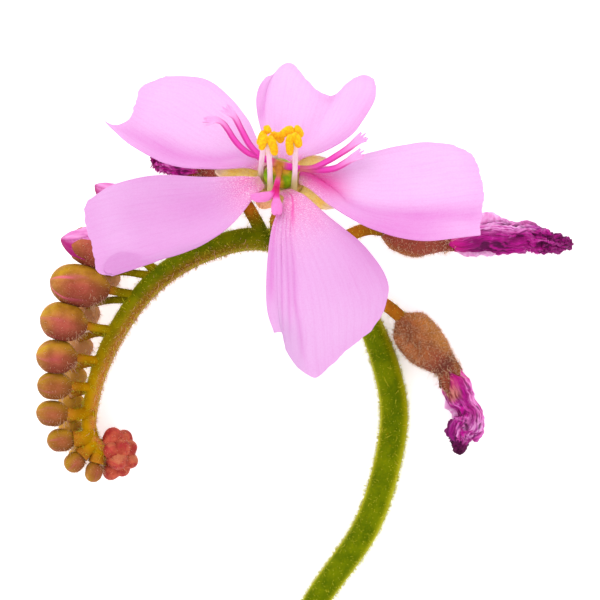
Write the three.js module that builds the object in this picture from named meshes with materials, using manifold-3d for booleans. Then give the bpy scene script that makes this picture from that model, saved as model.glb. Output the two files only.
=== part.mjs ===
// Cut flowering stem of a cape sundew (Drosera capensis), lying on a flat surface.
//
// Millimetres, +Z up, Z = 0 is the surface that it lies on. The plan is laid out round the foot of
// the open flower: +Y runs from the cut end of the stem to the flower, +X to the withered flowers,
// -X to the coil of buds. The whole group is then moved so that the middle of its box is the origin.
//
// The open flower has a frame of its own, tilted away from the stem: u and v lie in the plane where
// its petals join, w runs up its axis.

import * as THREE from 'three';
import { mergeVertices } from 'three/addons/utils/BufferGeometryUtils.js';
import Module from 'manifold-3d';

const wasm = await Module();
wasm.setup();

// ---------- driving dimensions ----------

const PLAN_CENTRE = [1.643, -13.346]; // middle of the finished box, in the plan round the flower
const GAP = 0.06; // left between two neighbouring pieces
const BLADE = 0.6; // thickness of petals and sepals
const TURN = 2 * Math.PI;

const FLOWER_HEIGHT = 9.6; // of the plane where the petals join
const FLOWER_TILT = THREE.MathUtils.degToRad(40);

const CUP_TOP = -0.1; // w of the flat top of the open flower's cup
const CUP_FOOT = -2.4; // w of the cup's foot, where the flower's stalk ends
const CLAW_RADIUS = 1.25; // where the petals start, from the flower's axis
const CLAW_WIDTH = 0.7;
const CLAW_HEIGHT = 0.25; // w of the middle of a petal at its claw
const PETAL_HEIGHT = 0.55; // w of the middle of a petal beyond its claw
const PETAL_ROWS = 10;
const PETAL_COLUMNS = 12;
const OVARY_RADIUS = 0.98;
const OVARY_HEIGHT = 1.6;
const STYLE_RADIUS = 0.26;
const FILAMENT_RADIUS = 0.19;
const ANTHER_RADIUS = 0.32;

const PEDICEL_RADIUS = 0.42; // of an open or withered flower's stalk
const BUD_STALK_RADIUS = 0.28;

const UP = new THREE.Vector3(0, 0, 1);

// ---------- meshes from rings ----------

const vector = ([x, y, z]) => new THREE.Vector3(x, y, z);

// value at a share t of the way through a list of evenly spaced values
function along(values, t) {
  const place = t * (values.length - 1);
  const index = Math.min(Math.floor(place), values.length - 2);
  return THREE.MathUtils.lerp(values[index], values[index + 1], place - index);
}

function geometry(points, faces) {
  const shape = new THREE.BufferGeometry();
  shape.setAttribute('position', new THREE.Float32BufferAttribute(points.flatMap((p) => p.toArray()), 3));
  shape.setIndex(faces);
  shape.computeVertexNormals();
  return shape;
}

// one closed body through a list of rings of as many points each
function loft(rings) {
  const sides = rings[0].length;
  const points = rings.flat();
  const faces = [];
  for (let ring = 0; ring < rings.length - 1; ring++) {
    for (let side = 0; side < sides; side++) {
      const here = ring * sides + side;
      const next = ring * sides + (side + 1) % sides;
      faces.push(here, next, next + sides, here, next + sides, here + sides);
    }
  }
  const middle = (ring) => ring.reduce((sum, p) => sum.add(p), new THREE.Vector3()).divideScalar(sides);
  const last = (rings.length - 1) * sides;
  const start = points.push(middle(rings[0])) - 1;
  const end = points.push(middle(rings.at(-1))) - 1;
  for (let side = 0; side < sides; side++) {
    const next = (side + 1) % sides;
    faces.push(start, next, side, end, last + side, last + next);
  }
  return geometry(points, faces);
}

// ring of a limb: centre, direction of the limb, radius at each angle and half its thickness
function ring(centre, direction, radius, section, t) {
  const { sides, up = UP, turn = 0, thick = Infinity, shape = () => 1 } = section;
  const side = up.clone().cross(direction).normalize();
  const over = direction.clone().cross(side);
  return Array.from({ length: sides }, (_, index) => {
    const angle = TURN * (index + turn) / sides;
    const reach = radius * shape(angle, t);
    return centre.clone()
      .addScaledVector(side, reach * Math.cos(angle))
      .addScaledVector(over, Math.min(reach, thick) * Math.sin(angle));
  });
}

// limb along a smooth curve through points, with a radius for each point
function limb(points, radii, { steps, ...section }) {
  const curve = new THREE.CatmullRomCurve3(points.map(vector));
  return loft(Array.from({ length: steps + 1 }, (_, step) => {
    const t = step / steps;
    return ring(curve.getPoint(t), curve.getTangent(t).normalize(), along(radii, t), section, t);
  }));
}

// straight body from foot to tip: profile lists shares of its length and of its radius
function spindle(foot, tip, radius, profile, section) {
  const axis = vector(tip).sub(vector(foot));
  const direction = axis.clone().normalize();
  return loft(profile.map(([t, share]) =>
    ring(vector(foot).addScaledVector(axis, t), direction, radius * share, section, t)));
}

// ---------- joins and cuts ----------

function solid(shape) {
  const bare = shape.clone();
  bare.deleteAttribute('normal');
  const merged = mergeVertices(bare, 1e-3);
  return new wasm.Manifold(new wasm.Mesh({
    numProp: 3,
    vertProperties: new Float32Array(merged.attributes.position.array),
    triVerts: new Uint32Array(merged.index.array),
  }));
}

function fromSolid(body) {
  const mesh = body.getMesh();
  const shape = new THREE.BufferGeometry();
  shape.setAttribute('position', new THREE.BufferAttribute(mesh.vertProperties, 3));
  shape.setIndex(new THREE.BufferAttribute(mesh.triVerts, 1));
  shape.computeVertexNormals();
  return shape;
}

const join = (shapes) => fromSolid(shapes.map(solid).reduce((a, b) => a.add(b)));

const cut = (shape, tools) => fromSolid(tools.map(solid).reduce((a, b) => a.subtract(b), solid(shape)));

// ---------- scene graph ----------

const plant = new THREE.Group();
plant.position.set(-PLAN_CENTRE[0], -PLAN_CENTRE[1], 0);

const openFlower = new THREE.Group();
openFlower.position.z = FLOWER_HEIGHT;
openFlower.rotation.x = -FLOWER_TILT;
plant.add(openFlower);

function add(parent, name, shape, colour, roughness = 0.6) {
  const material = new THREE.MeshStandardMaterial({ color: colour, roughness, metalness: 0 });
  const mesh = new THREE.Mesh(shape, material);
  mesh.name = name;
  parent.add(mesh);
}

// ---------- scape: the stem with the stalk of every flower and bud ----------

// middle line from the plain cut to the coiled tip, and the radius at each point
const STEM = [
  [-0.67, -34.37, 0.74, 0.80], [0.64, -30.90, 0.74, 0.80], [2.54, -27.49, 0.74, 0.80],
  [5.62, -22.83, 0.76, 0.81], [6.80, -19.09, 0.77, 0.82], [7.45, -15.36, 0.80, 0.83],
  [7.06, -12.41, 0.96, 0.80], [5.81, -8.73, 1.40, 0.76], [2.93, -5.20, 2.10, 0.72],
  [-1.45, -3.76, 2.65, 0.68], [-5.24, -4.68, 3.30, 0.64], [-8.49, -6.58, 4.00, 0.61],
  [-10.58, -9.71, 4.00, 0.58], [-11.83, -13.04, 3.30, 0.53], [-12.31, -15.92, 2.50, 0.45],
  [-12.12, -17.05, 2.25, 0.43], [-11.50, -17.75, 2.00, 0.40],
];

const stemPath = STEM.map(([x, y, z]) => [x, y, z]);
const stemRadii = STEM.map((point) => point[3]);

const onFlowerAxis = (w) => [0, w * Math.sin(FLOWER_TILT), FLOWER_HEIGHT + w * Math.cos(FLOWER_TILT)];

// stalks of the open and the withered flowers, from the middle of the stem; the open flower's comes
// up along its axis and ends just under the cup
const FLOWER_STALKS = {
  open: [[-0.11, -3.76, 2.5], [-0.21, -3.12, 4.0], [-0.25, -2.60, 5.4], onFlowerAxis(CUP_FOOT - 0.8),
    onFlowerAxis(CUP_FOOT - GAP)],
  withered_1: [[5.02, -7.23, 1.75], [6.00, -7.62, 2.0], [6.92, -8.14, 2.1], [7.85, -8.90, 2.0]],
  withered_2: [[2.93, -5.13, 2.1], [3.78, -4.09, 2.3], [4.69, -3.50, 2.4], [5.74, -3.17, 2.3],
    [6.65, -3.23, 2.15]],
  withered_3: [[-1.19, -3.63, 2.65], [-1.58, -2.65, 2.8], [-2.04, -1.87, 2.7], [-2.66, -0.96, 2.45]],
};

// buds: place of the stalk on the stem, foot and tip of the bud, largest radius
const FRONT_BUDS = [
  [[-9.21, -7.56, 4.05], [-11.15, -7.17, 4.5], [-14.99, -6.51, 4.9], 1.40],
  [[-10.64, -9.84, 4.0], [-12.59, -9.51, 4.4], [-15.64, -8.92, 4.7], 1.28],
  [[-11.50, -11.86, 3.6], [-13.25, -11.60, 4.1], [-15.91, -11.40, 4.4], 1.12],
  [[-11.97, -13.56, 3.2], [-13.59, -13.43, 3.6], [-15.86, -13.36, 3.9], 0.92],
  [[-12.24, -15.07, 2.75], [-13.80, -15.26, 3.1], [-15.94, -15.13, 3.4], 0.86],
  [[-12.31, -16.38, 2.4], [-13.41, -16.90, 2.7], [-15.24, -17.03, 3.0], 0.77],
  [[-12.12, -17.11, 2.25], [-12.96, -17.89, 2.4], [-13.94, -18.93, 2.6], 0.66],
  [[-11.75, -17.60, 2.1], [-12.02, -18.35, 2.1], [-12.38, -19.72, 2.2], 0.58],
];
const REAR_BUDS = [
  [[-8.56, -6.71, 4.0], [-10.61, -6.51, 2.5], [-12.74, -5.98, 1.22], 1.20],
  [[-9.99, -8.67, 4.1], [-11.53, -8.34, 2.4], [-13.72, -8.86, 1.12], 1.12],
  [[-11.10, -10.69, 3.85], [-12.25, -10.50, 2.2], [-14.11, -11.09, 1.04], 1.02],
  [[-11.83, -12.78, 3.4], [-12.71, -12.60, 2.0], [-14.31, -13.06, 0.94], 0.92],
  [[-12.17, -14.42, 2.95], [-12.91, -14.40, 1.7], [-14.51, -14.77, 0.84], 0.82],
  [[-12.31, -15.79, 2.55], [-13.05, -15.87, 1.5], [-14.45, -16.34, 0.74], 0.72],
  [[-12.18, -16.84, 2.3], [-12.66, -17.38, 1.3], [-13.73, -18.31, 0.64], 0.62],
];

// the two buds about to open, laid out as the others
const OPENING_BUDS = [
  [[-8.04, -5.99, 3.85], [-9.80, -4.90, 4.35], [-14.27, -3.86, 5.05], 1.40],
  [[-6.21, -5.08, 3.5], [-7.90, -3.10, 2.8], [-12.13, -0.29, 1.6], 1.20],
];

// stalk of a bud: leaves the stem square, widens into the bud's foot
function budStalk([root, foot, tip]) {
  const end = vector(foot);
  const direction = vector(tip).sub(end).normalize();
  const bend = end.clone().addScaledVector(direction, -0.5).toArray();
  const top = end.addScaledVector(direction, -GAP).toArray();
  const radii = [0.9, 1, 1.35].map((share) => share * BUD_STALK_RADIUS);
  return limb([root, bend, top], radii, { sides: 6, steps: 4 });
}

function scape() {
  const stem = limb(stemPath, stemRadii, { sides: 12, steps: 64, turn: 0.5 });
  const points = stem.attributes.position;
  for (let index = 0; index < points.count; index++) {
    points.setZ(index, Math.max(points.getZ(index), 0)); // flat where it lies on the surface
  }
  const flowerStalks = Object.values(FLOWER_STALKS).map((path) =>
    limb(path, path.map(() => PEDICEL_RADIUS), { sides: 8, steps: 6, up: new THREE.Vector3(0.3, 1, 0) }));
  const budStalks = [...FRONT_BUDS, ...REAR_BUDS, ...OPENING_BUDS].map(budStalk);
  return join([stem, ...flowerStalks, ...budStalks]);
}

// ---------- open flower ----------

const polar = (radius, degrees, w) => {
  const angle = THREE.MathUtils.degToRad(degrees);
  return [radius * Math.cos(angle), radius * Math.sin(angle), w];
};

const CUP_PROFILE = [[CUP_FOOT, 0.45], [-1.7, 1.0], [-0.8, 1.42], [-0.35, 1.5], [CUP_TOP, 1.42]];

// each sepal: direction, reach from the axis
const SEPALS = [[31, 3.7], [103, 3.6], [170, 4.2], [242, 3.0], [322, 4.4]];

function openCalyx() {
  const section = { sides: 10, up: new THREE.Vector3(0, 1, 0) };
  const cup = loft(CUP_PROFILE.map(([w, radius]) =>
    ring(new THREE.Vector3(0, 0, w), UP, radius, section)));
  const sepals = SEPALS.map(([degrees, reach]) =>
    limb([polar(1.0, degrees, -0.75), polar(1.8, degrees, -0.5), polar((1.8 + reach) / 2, degrees, -0.45),
      polar(reach, degrees, -0.55)], [0.55, 0.72, 0.62, 0.08], { sides: 6, steps: 5, thick: BLADE / 2 / 0.866 }));
  return join([cup, ...sepals]);
}

// petals: left and right edge in the flower's plane from claw to shoulder, seen from the axis with
// right first, then the outline between the two shoulders. Each bends back by a share of its length.
const PETALS = {
  petal_top: {
    degrees: 76, length: 11.7, reflex: -2.6, bulge: -0.35,
    right: [[1.29, 1.35], [2.91, 2.14], [4.54, 3.80], [5.52, 5.87], [6.19, 8.10], [6.27, 9.63]],
    left: [[-0.39, 1.42], [-1.11, 3.43], [-1.57, 7.03], [-1.39, 8.68], [-0.93, 9.94]],
    tip: [[6.27, 9.63], [6.01, 10.76], [5.36, 10.98], [4.37, 9.63], [3.31, 7.81], [2.47, 8.29],
      [1.55, 10.12], [0.64, 12.05], [-0.02, 11.45], [-0.50, 10.20], [-0.93, 9.94]],
  },
  petal_upper_left: {
    degrees: 139, length: 11.7, reflex: 0, bulge: -0.6,
    right: [[-1.05, 1.75], [-2.08, 4.58], [-3.39, 6.74], [-4.90, 8.12], [-7.50, 8.38]],
    left: [[-1.75, 0.45], [-4.20, 0.29], [-7.11, 0.72], [-9.39, 2.43], [-11.42, 4.49]],
    tip: [[-7.50, 8.38], [-8.93, 7.52], [-9.30, 6.39], [-9.80, 4.75], [-10.64, 4.15], [-11.42, 4.49]],
  },
  petal_lower_left: {
    degrees: 202, length: 13.4, reflex: 0, bulge: -0.5,
    right: [[-1.80, -0.08], [-4.19, -0.22], [-8.39, -0.22], [-10.96, -1.07], [-11.79, -1.75]],
    left: [[-1.45, -1.55], [-2.89, -4.04], [-4.80, -5.89], [-7.67, -7.32], [-10.73, -8.66]],
    tip: [[-11.79, -1.75], [-12.48, -2.60], [-12.53, -3.78], [-11.98, -6.48], [-11.57, -8.41],
      [-10.73, -8.66]],
  },
  petal_bottom: {
    degrees: 285, length: 12.8, reflex: -3.5, bulge: 0.5,
    right: [[0.26, -1.79], [-0.51, -4.29], [-0.89, -8.51], [-0.76, -10.15], [-0.37, -11.18]],
    left: [[1.49, -1.70], [3.22, -3.39], [5.47, -5.20], [6.94, -7.40], [6.68, -9.31]],
    tip: [[-0.37, -11.18], [0.27, -11.18], [0.40, -12.18], [1.29, -13.25], [2.32, -13.65],
      [3.21, -13.03], [4.04, -12.21], [5.78, -10.63], [6.68, -9.31]],
  },
  petal_right: {
    degrees: -5, length: 13.1, reflex: 0, bulge: -0.5,
    right: [[1.49, -0.80], [3.22, -2.68], [6.11, -4.80], [9.12, -5.64], [12.85, -5.22]],
    left: [[1.49, 0.59], [3.23, 0.63], [5.30, 1.75], [7.77, 2.43], [11.20, 2.43]],
    tip: [[12.85, -5.22], [13.00, -3.28], [13.15, -1.83], [12.85, 0.29], [12.42, 1.57], [11.20, 2.43]],
  },
};

// point of a petal's middle surface: s runs out from the claw, t across from right to left
function petalSurface({ degrees, length, reflex, bulge, right, left, tip }) {
  const claw = new THREE.Vector3(...polar(CLAW_RADIUS, degrees, 0));
  const across = new THREE.Vector3(...polar(CLAW_WIDTH / 2, degrees + 90, 0));
  const flat = (list) => list.map(([u, v]) => new THREE.Vector3(u, v, 0));
  const clawRight = claw.clone().sub(across);
  const clawLeft = claw.clone().add(across);
  const rightEdge = new THREE.CatmullRomCurve3([clawRight, ...flat(right)]);
  const leftEdge = new THREE.CatmullRomCurve3([clawLeft, ...flat(left)]);
  const tipEdge = new THREE.CatmullRomCurve3(flat(tip));
  return (s, t) => {
    const point = rightEdge.getPointAt(s).lerp(leftEdge.getPointAt(s), t);
    const chord = tipEdge.getPointAt(0).lerp(tipEdge.getPointAt(1), t);
    point.addScaledVector(tipEdge.getPointAt(t).sub(chord), s);
    const reach = point.length();
    const rise = THREE.MathUtils.smoothstep(reach, CLAW_RADIUS, 2.6);
    point.z = THREE.MathUtils.lerp(CLAW_HEIGHT, PETAL_HEIGHT, rise)
      + reflex * (reach / length) ** 2
      + bulge * (1 - (2 * t - 1) ** 2) * Math.sin(Math.PI * s);
    return point;
  };
}

// blade of even thickness over a surface, split into triangles alike on both faces
function blade(surface, rows, columns, thickness) {
  const width = columns + 1;
  const step = 1e-3;
  const points = [];
  for (const face of [1, -1]) {
    for (let row = 0; row <= rows; row++) {
      for (let column = 0; column <= columns; column++) {
        const [s, t] = [row / rows, column / columns];
        const [s0, t0] = [Math.min(s, 1 - step), Math.min(t, 1 - step)];
        const outward = surface(s0 + step, t0).sub(surface(s0, t0));
        const sideways = surface(s0, t0 + step).sub(surface(s0, t0));
        const normal = outward.cross(sideways).normalize();
        points.push(surface(s, t).addScaledVector(normal, face * thickness / 2));
      }
    }
  }
  const under = points.length / 2;
  const faces = [];
  for (let row = 0; row < rows; row++) {
    for (let column = 0; column < columns; column++) {
      const a = row * width + column;
      const [b, c, d] = [a + width, a + width + 1, a + 1];
      faces.push(a, b, c, a, c, d, under + a, under + c, under + b, under + a, under + d, under + c);
    }
  }
  const rim = [];
  for (let column = 0; column < columns; column++) rim.push(column);
  for (let row = 0; row < rows; row++) rim.push(row * width + columns);
  for (let column = columns; column > 0; column--) rim.push(rows * width + column);
  for (let row = rows; row > 0; row--) rim.push(row * width);
  rim.forEach((here, index) => {
    const next = rim[(index + 1) % rim.length];
    faces.push(here, next, under + next, here, under + next, under + here);
  });
  return geometry(points, faces);
}

// three lobes, one of them towards the top petal
function ovary() {
  const profile = [[0, 0.72], [0.15, 0.88], [0.4, 1], [0.65, 0.96], [0.85, 0.72], [1, 0.35]];
  const foot = CUP_TOP + GAP;
  const section = {
    sides: 18,
    up: new THREE.Vector3(0, 1, 0),
    shape: (angle) => 0.9 + 0.12 * Math.cos(3 * (angle - Math.PI / 2)),
  };
  return spindle([0, 0, foot], [0, 0, OVARY_HEIGHT], OVARY_RADIUS, profile, section);
}

// three styles, each a stalk that forks close to the ovary into two arms with widened tips
const STYLE_ROOT = [0, 0, OVARY_HEIGHT + 0.34];
const STYLES = [
  {
    stalk: [STYLE_ROOT, [-0.72, 0.30, 1.85], [-1.43, 0.60, 1.55]],
    arms: [[[-1.30, 0.56, 1.57], [-2.00, 1.52, 2.0], [-2.65, 2.35, 2.5], [-3.25, 3.17, 3.0]],
      [[-1.30, 0.54, 1.57], [-2.25, 1.02, 1.8], [-3.15, 1.65, 2.3], [-4.36, 2.49, 3.0]]],
  },
  {
    stalk: [STYLE_ROOT, [0.70, 0.02, 1.85], [1.45, 0.02, 1.35]],
    arms: [[[1.30, 0.05, 1.38], [2.60, 0.13, 1.5], [3.95, 0.62, 1.8], [5.33, 2.00, 2.1]],
      [[1.30, 0.00, 1.38], [2.47, -0.50, 1.4], [3.80, -0.42, 1.5], [5.33, 0.36, 2.0]]],
  },
  {
    stalk: [STYLE_ROOT, [-0.10, -0.88, 1.9], [-0.24, -1.80, 1.2]],
    arms: [[[-0.26, -1.68, 1.25], [-0.70, -2.30, 1.2], [-1.25, -2.62, 1.25], [-1.82, -2.90, 1.3]],
      [[-0.20, -1.68, 1.25], [-0.26, -2.40, 1.15], [-0.30, -3.15, 1.1], [-0.26, -3.85, 1.1]]],
  },
];

function styles() {
  const radii = (shares) => shares.map((share) => share * STYLE_RADIUS);
  const hub = spindle([0, 0, OVARY_HEIGHT + GAP], [0, 0, OVARY_HEIGHT + 0.6], 0.36,
    [[0, 1], [0.6, 1], [1, 0.5]], { sides: 9, up: new THREE.Vector3(0, 1, 0) });
  const stalks = STYLES.map(({ stalk }) => limb(stalk, radii([1.2, 1.2, 1.3]), { sides: 7, steps: 4 }));
  const arms = STYLES.flatMap((style) => style.arms).map((arm) =>
    limb(arm, radii([0.9, 0.95, 1.15, 1.3]), { sides: 6, steps: 6, thick: STYLE_RADIUS }));
  return join([hub, ...stalks, ...arms]);
}

// stamens: line of the filament, and of the anther that is slung over its top
const STAMENS = [
  {
    filament: [[-0.62, -1.12, 0], [-0.66, -0.86, 2.3], [-0.75, -0.48, 4.25]],
    anther: [[-1.20, -0.88, 3.9], [-1.02, -0.62, 4.55], [-0.75, -0.50, 4.75], [-0.48, -0.78, 4.4],
      [-0.30, -1.10, 3.6]],
  },
  {
    filament: [[0.90, -0.86, 0], [0.98, -0.60, 2.3], [0.90, -0.27, 4.06]],
    anther: [[0.68, -1.02, 3.5], [0.62, -0.60, 4.4], [0.78, -0.28, 4.75], [1.05, -0.42, 4.5],
      [1.28, -0.66, 3.9]],
  },
  {
    filament: [[0.95, 0.78, 0], [1.02, 0.74, 2.2], [0.92, 0.63, 3.60]],
    anther: [[0.45, 0.52, 3.95], [0.90, 0.62, 4.25], [1.32, 0.52, 3.7]],
  },
  {
    filament: [[-0.32, 1.18, 0], [-0.28, 1.05, 1.8], [-0.21, 0.74, 3.10]],
    anther: [[-0.62, 0.62, 3.2], [-0.22, 0.70, 3.65], [0.16, 0.52, 3.1]],
  },
  {
    filament: [[-1.24, 0.14, 0], [-1.20, -0.06, 1.7], [-0.98, 0.22, 3.54]],
    anther: [[-0.60, 0.46, 4.45], [-0.98, 0.26, 4.42], [-1.34, -0.14, 3.5]],
  },
];

const filament = (path) => limb(path, [1.15, 1, 0.85].map((share) => share * FILAMENT_RADIUS),
  { sides: 6, steps: 5, up: new THREE.Vector3(0, 1, 0) });

// two sacs, each from the top of the anther down one side of the filament
function anther(path) {
  const top = (path.length - 1) / 2;
  const sac = (points) => limb(points, [0.8, 1, 0.8].map((share) => share * ANTHER_RADIUS),
    { sides: 8, steps: 5, up: new THREE.Vector3(0.2, 1, 0.1) });
  return join([sac(path.slice(0, top + 1)), sac(path.slice(top))]);
}

// ---------- buds ----------

const BUD_PROFILE = [[0, 0.30], [0.08, 0.62], [0.25, 0.94], [0.45, 1], [0.66, 0.88], [0.84, 0.60],
  [0.95, 0.30], [1, 0.06]];
const BUD_SECTION = { sides: 10, shape: (angle) => 0.985 + 0.03 * Math.cos(5 * angle) };

const bud = ([, foot, tip, radius]) => spindle(foot, tip, radius, BUD_PROFILE, BUD_SECTION);

// an opening bud is cut in two along the toothed line of its five sepals: t = 0.42 between the
// teeth, 0.66 at their points; the furled corolla goes on from there
const TOOTH_ROOT = 0.42;
const TOOTH_POINT = 0.66;

function openingBud([, foot, tip, radius], corolla) {
  const start = vector(foot);
  const axis = vector(tip).sub(start);
  const direction = axis.clone().normalize();
  const profile = (t) => {
    const next = BUD_PROFILE.findIndex(([place]) => place > t);
    const [a, b] = [BUD_PROFILE[next - 1], BUD_PROFILE[next]];
    return THREE.MathUtils.mapLinear(t, a[0], b[0], a[1], b[1]);
  };
  const toothed = (shift, share) => {
    const at = (t) => ring(start.clone().addScaledVector(axis, t).addScaledVector(direction, shift),
      direction, radius * share * profile(t), BUD_SECTION);
    const [roots, points] = [at(TOOTH_ROOT), at(TOOTH_POINT)];
    return roots.map((point, index) => (index % 2 ? point : points[index]));
  };
  const plain = (places) => BUD_PROFILE.filter(([t]) => places(t)).map(([t, share]) =>
    ring(start.clone().addScaledVector(axis, t), direction, radius * share, BUD_SECTION));
  return corolla
    ? loft([toothed(GAP, 0.94), ...plain((t) => t > TOOTH_POINT + 0.02)])
    : loft([...plain((t) => t < TOOTH_ROOT - 0.02), toothed(0, 1)]);
}

// ---------- withered flowers ----------

// calyx: middle line and radii from stalk to neck, then the crumpled corolla beyond it
const WITHERED = [
  {
    calyx: [[7.91, -8.95, 1.98], [8.55, -9.55, 1.8], [9.35, -10.45, 1.72], [10.15, -11.35, 1.7],
      [10.90, -12.15, 1.55]],
    calyxRadii: [0.48, 1.45, 1.66, 1.18, 0.76],
    corolla: [[11.02, -12.34, 1.52], [11.38, -13.32, 1.4], [11.77, -14.37, 1.3], [12.02, -15.29, 1.25],
      [12.05, -16.20, 1.2], [11.90, -17.00, 0.95], [11.66, -17.79, 0.6]],
    corollaRadii: [0.62, 0.95, 1.05, 0.90, 1.25, 0.75, 0.42],
    seed: 0.4,
  },
  {
    calyx: [[6.72, -3.24, 2.13], [7.60, -3.42, 1.95], [8.90, -3.72, 1.8], [10.00, -3.95, 1.65],
      [10.80, -4.05, 1.5]],
    calyxRadii: [0.48, 1.12, 1.28, 0.88, 0.58],
    corolla: [[10.90, -4.06, 1.5], [11.77, -4.08, 1.5], [13.41, -3.55, 1.45], [15.05, -3.69, 1.3],
      [17.02, -3.95, 0.95], [18.34, -4.08, 0.7], [19.13, -4.14, 0.5]],
    corollaRadii: [0.45, 0.80, 1.36, 1.18, 0.82, 0.56, 0.36],
    seed: 2.1,
  },
  {
    calyx: [[-2.78, -0.86, 2.42], [-3.30, -0.52, 2.3], [-4.00, -0.08, 2.1], [-4.60, 0.30, 2.0],
      [-5.10, 0.58, 1.9]],
    calyxRadii: [0.48, 1.15, 1.36, 0.95, 0.62],
    corolla: [[-5.16, 0.62, 1.88], [-6.24, 1.02, 1.7], [-7.09, 1.48, 1.55], [-7.88, 2.01, 1.3],
      [-8.54, 2.34, 1.0]],
    corollaRadii: [0.50, 0.92, 1.15, 0.85, 0.45],
    seed: 4.3,
  },
];

const RIBBED = (angle) => 1 + 0.03 * Math.cos(5 * angle);

const witheredCalyx = ({ calyx, calyxRadii }) =>
  limb(calyx, calyxRadii, { sides: 10, steps: 10, shape: RIBBED });

// twisted folds: two waves that run round the corolla in opposite directions
const witheredCorolla = ({ corolla, corollaRadii, seed }) =>
  limb(corolla, corollaRadii, {
    sides: 18,
    steps: 16,
    shape: (angle, t) => {
      const swell = Math.min(1, 6 * t);
      return 0.96 + swell * (0.17 * Math.cos(5 * angle + 3.5 * t + seed)
        + 0.10 * Math.cos(3 * angle - 7 * t + 2 * seed) + 0.05 * Math.cos(17 * t + seed + angle));
    },
  });

// ---------- tip of the coil: a head of buds that are still forming ----------

// centre and radius of each small bud round the core
const HEAD_BUDS = [
  [-10.90, -16.95, 2.0, 0.78], [-10.28, -16.98, 1.6, 0.66], [-9.98, -17.55, 1.9, 0.62],
  [-9.92, -18.30, 1.8, 0.60], [-10.40, -18.75, 1.5, 0.62], [-11.05, -18.95, 1.35, 0.66],
  [-10.62, -18.30, 2.5, 0.66], [-11.00, -17.65, 2.6, 0.58], [-10.40, -17.50, 2.5, 0.62],
  [-10.95, -18.45, 1.0, 0.60], [-10.30, -17.95, 1.0, 0.60], [-10.80, -17.35, 1.1, 0.60],
];
const HEAD_CORE = [-10.68, -17.96, 1.8, 0.85];

// ball of a few sides, flattened at its poles
function ball([x, y, z, radius]) {
  const profile = [[0, 0.42], [0.28, 0.92], [0.72, 0.92], [1, 0.42]];
  return spindle([x, y, z - radius], [x, y, z + radius], radius, profile,
    { sides: 8, up: new THREE.Vector3(0, 1, 0) });
}

function head() {
  const clearance = limb(stemPath.slice(-3), stemRadii.slice(-3).map((radius) => radius + 0.1),
    { sides: 10, steps: 6 });
  return cut(join([HEAD_CORE, ...HEAD_BUDS].map(ball)), [clearance]);
}

// ---------- the pieces ----------

add(plant, 'scape', scape(), 0x7d8f1a);
add(openFlower, 'calyx_open', openCalyx(), 0xc9b458);
for (const [name, petal] of Object.entries(PETALS)) {
  add(openFlower, name, blade(petalSurface(petal), PETAL_ROWS, PETAL_COLUMNS, BLADE), 0xf5b4f4, 0.5);
}
add(openFlower, 'ovary', ovary(), 0x7fa11c, 0.4);
add(openFlower, 'styles', styles(), 0xf23cc0, 0.4);
STAMENS.forEach((stamen, index) => {
  add(openFlower, `filament_${index + 1}`, filament(stamen.filament), 0xf3d9e2, 0.4);
  add(openFlower, `anther_${index + 1}`, anther(stamen.anther), 0xf7be08, 0.8);
});
WITHERED.forEach((flower, index) => {
  add(plant, `withered_calyx_${index + 1}`, witheredCalyx(flower), 0x8f5420, 0.8);
  add(plant, `withered_corolla_${index + 1}`, witheredCorolla(flower), 0xa3128e);
});
OPENING_BUDS.forEach((place, index) => {
  add(plant, `opening_bud_calyx_${index + 1}`, openingBud(place, false), 0x9c5c36, 0.7);
  add(plant, `opening_bud_corolla_${index + 1}`, openingBud(place, true), 0xe05cc8);
});
FRONT_BUDS.forEach((place, index) => add(plant, `bud_front_${index + 1}`, bud(place), 0xa86a3a, 0.7));
REAR_BUDS.forEach((place, index) => add(plant, `bud_rear_${index + 1}`, bud(place), 0x9a6a3a, 0.7));
add(plant, 'bud_head', head(), 0xc8504a, 0.7);

export default plant;
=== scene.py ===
"""Cut flowering stem of a cape sundew, Drosera capensis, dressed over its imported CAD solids.

The stem lies on a pale floor and the camera looks straight down on it. Lengths are millimetres in
the plan of the CAD model, with its origin on the floor below the open flower; piece() turns them
into metres in the frame. The open flower has a frame of its own, tilted away from the stem: u and v
lie in the plane where its petals join, w runs up its axis.
"""

import math

import bpy
import numpy as np
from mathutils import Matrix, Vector, noise


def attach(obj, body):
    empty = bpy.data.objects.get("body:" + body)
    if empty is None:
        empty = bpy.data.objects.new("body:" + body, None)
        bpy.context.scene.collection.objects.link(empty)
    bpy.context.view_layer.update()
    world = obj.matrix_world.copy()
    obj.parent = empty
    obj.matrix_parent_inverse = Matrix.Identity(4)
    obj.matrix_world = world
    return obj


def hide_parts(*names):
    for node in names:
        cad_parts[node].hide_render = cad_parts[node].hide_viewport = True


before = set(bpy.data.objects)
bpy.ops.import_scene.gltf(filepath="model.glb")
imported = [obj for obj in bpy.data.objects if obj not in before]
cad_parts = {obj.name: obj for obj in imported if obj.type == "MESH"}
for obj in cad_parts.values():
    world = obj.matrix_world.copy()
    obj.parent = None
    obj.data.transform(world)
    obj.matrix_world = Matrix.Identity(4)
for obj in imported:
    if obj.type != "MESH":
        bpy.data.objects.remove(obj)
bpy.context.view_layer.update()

# ---------- driving values, the same as in the CAD model ----------

MM = 0.001
PLAN_CENTRE = (1.643, -13.346)  # middle of the object's box in the plan
TURN = 2 * math.pi

FLOWER_HEIGHT = 9.6  # of the plane where the petals join
FLOWER_TILT = math.radians(40)
CUP_TOP = -0.1  # w of the top of the open flower's cup
CUP_FOOT = -2.4
CLAW_RADIUS = 1.25  # where the petals start, from the flower's axis
CLAW_HEIGHT = 0.25  # w of the middle of a petal at its claw
PETAL_HEIGHT = 0.55  # w of the middle of a petal beyond its claw
STYLE_RADIUS = 0.26
FILAMENT_RADIUS = 0.19
PEDICEL_RADIUS = 0.42  # of an open or withered flower's stalk
BUD_STALK_RADIUS = 0.28

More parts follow.
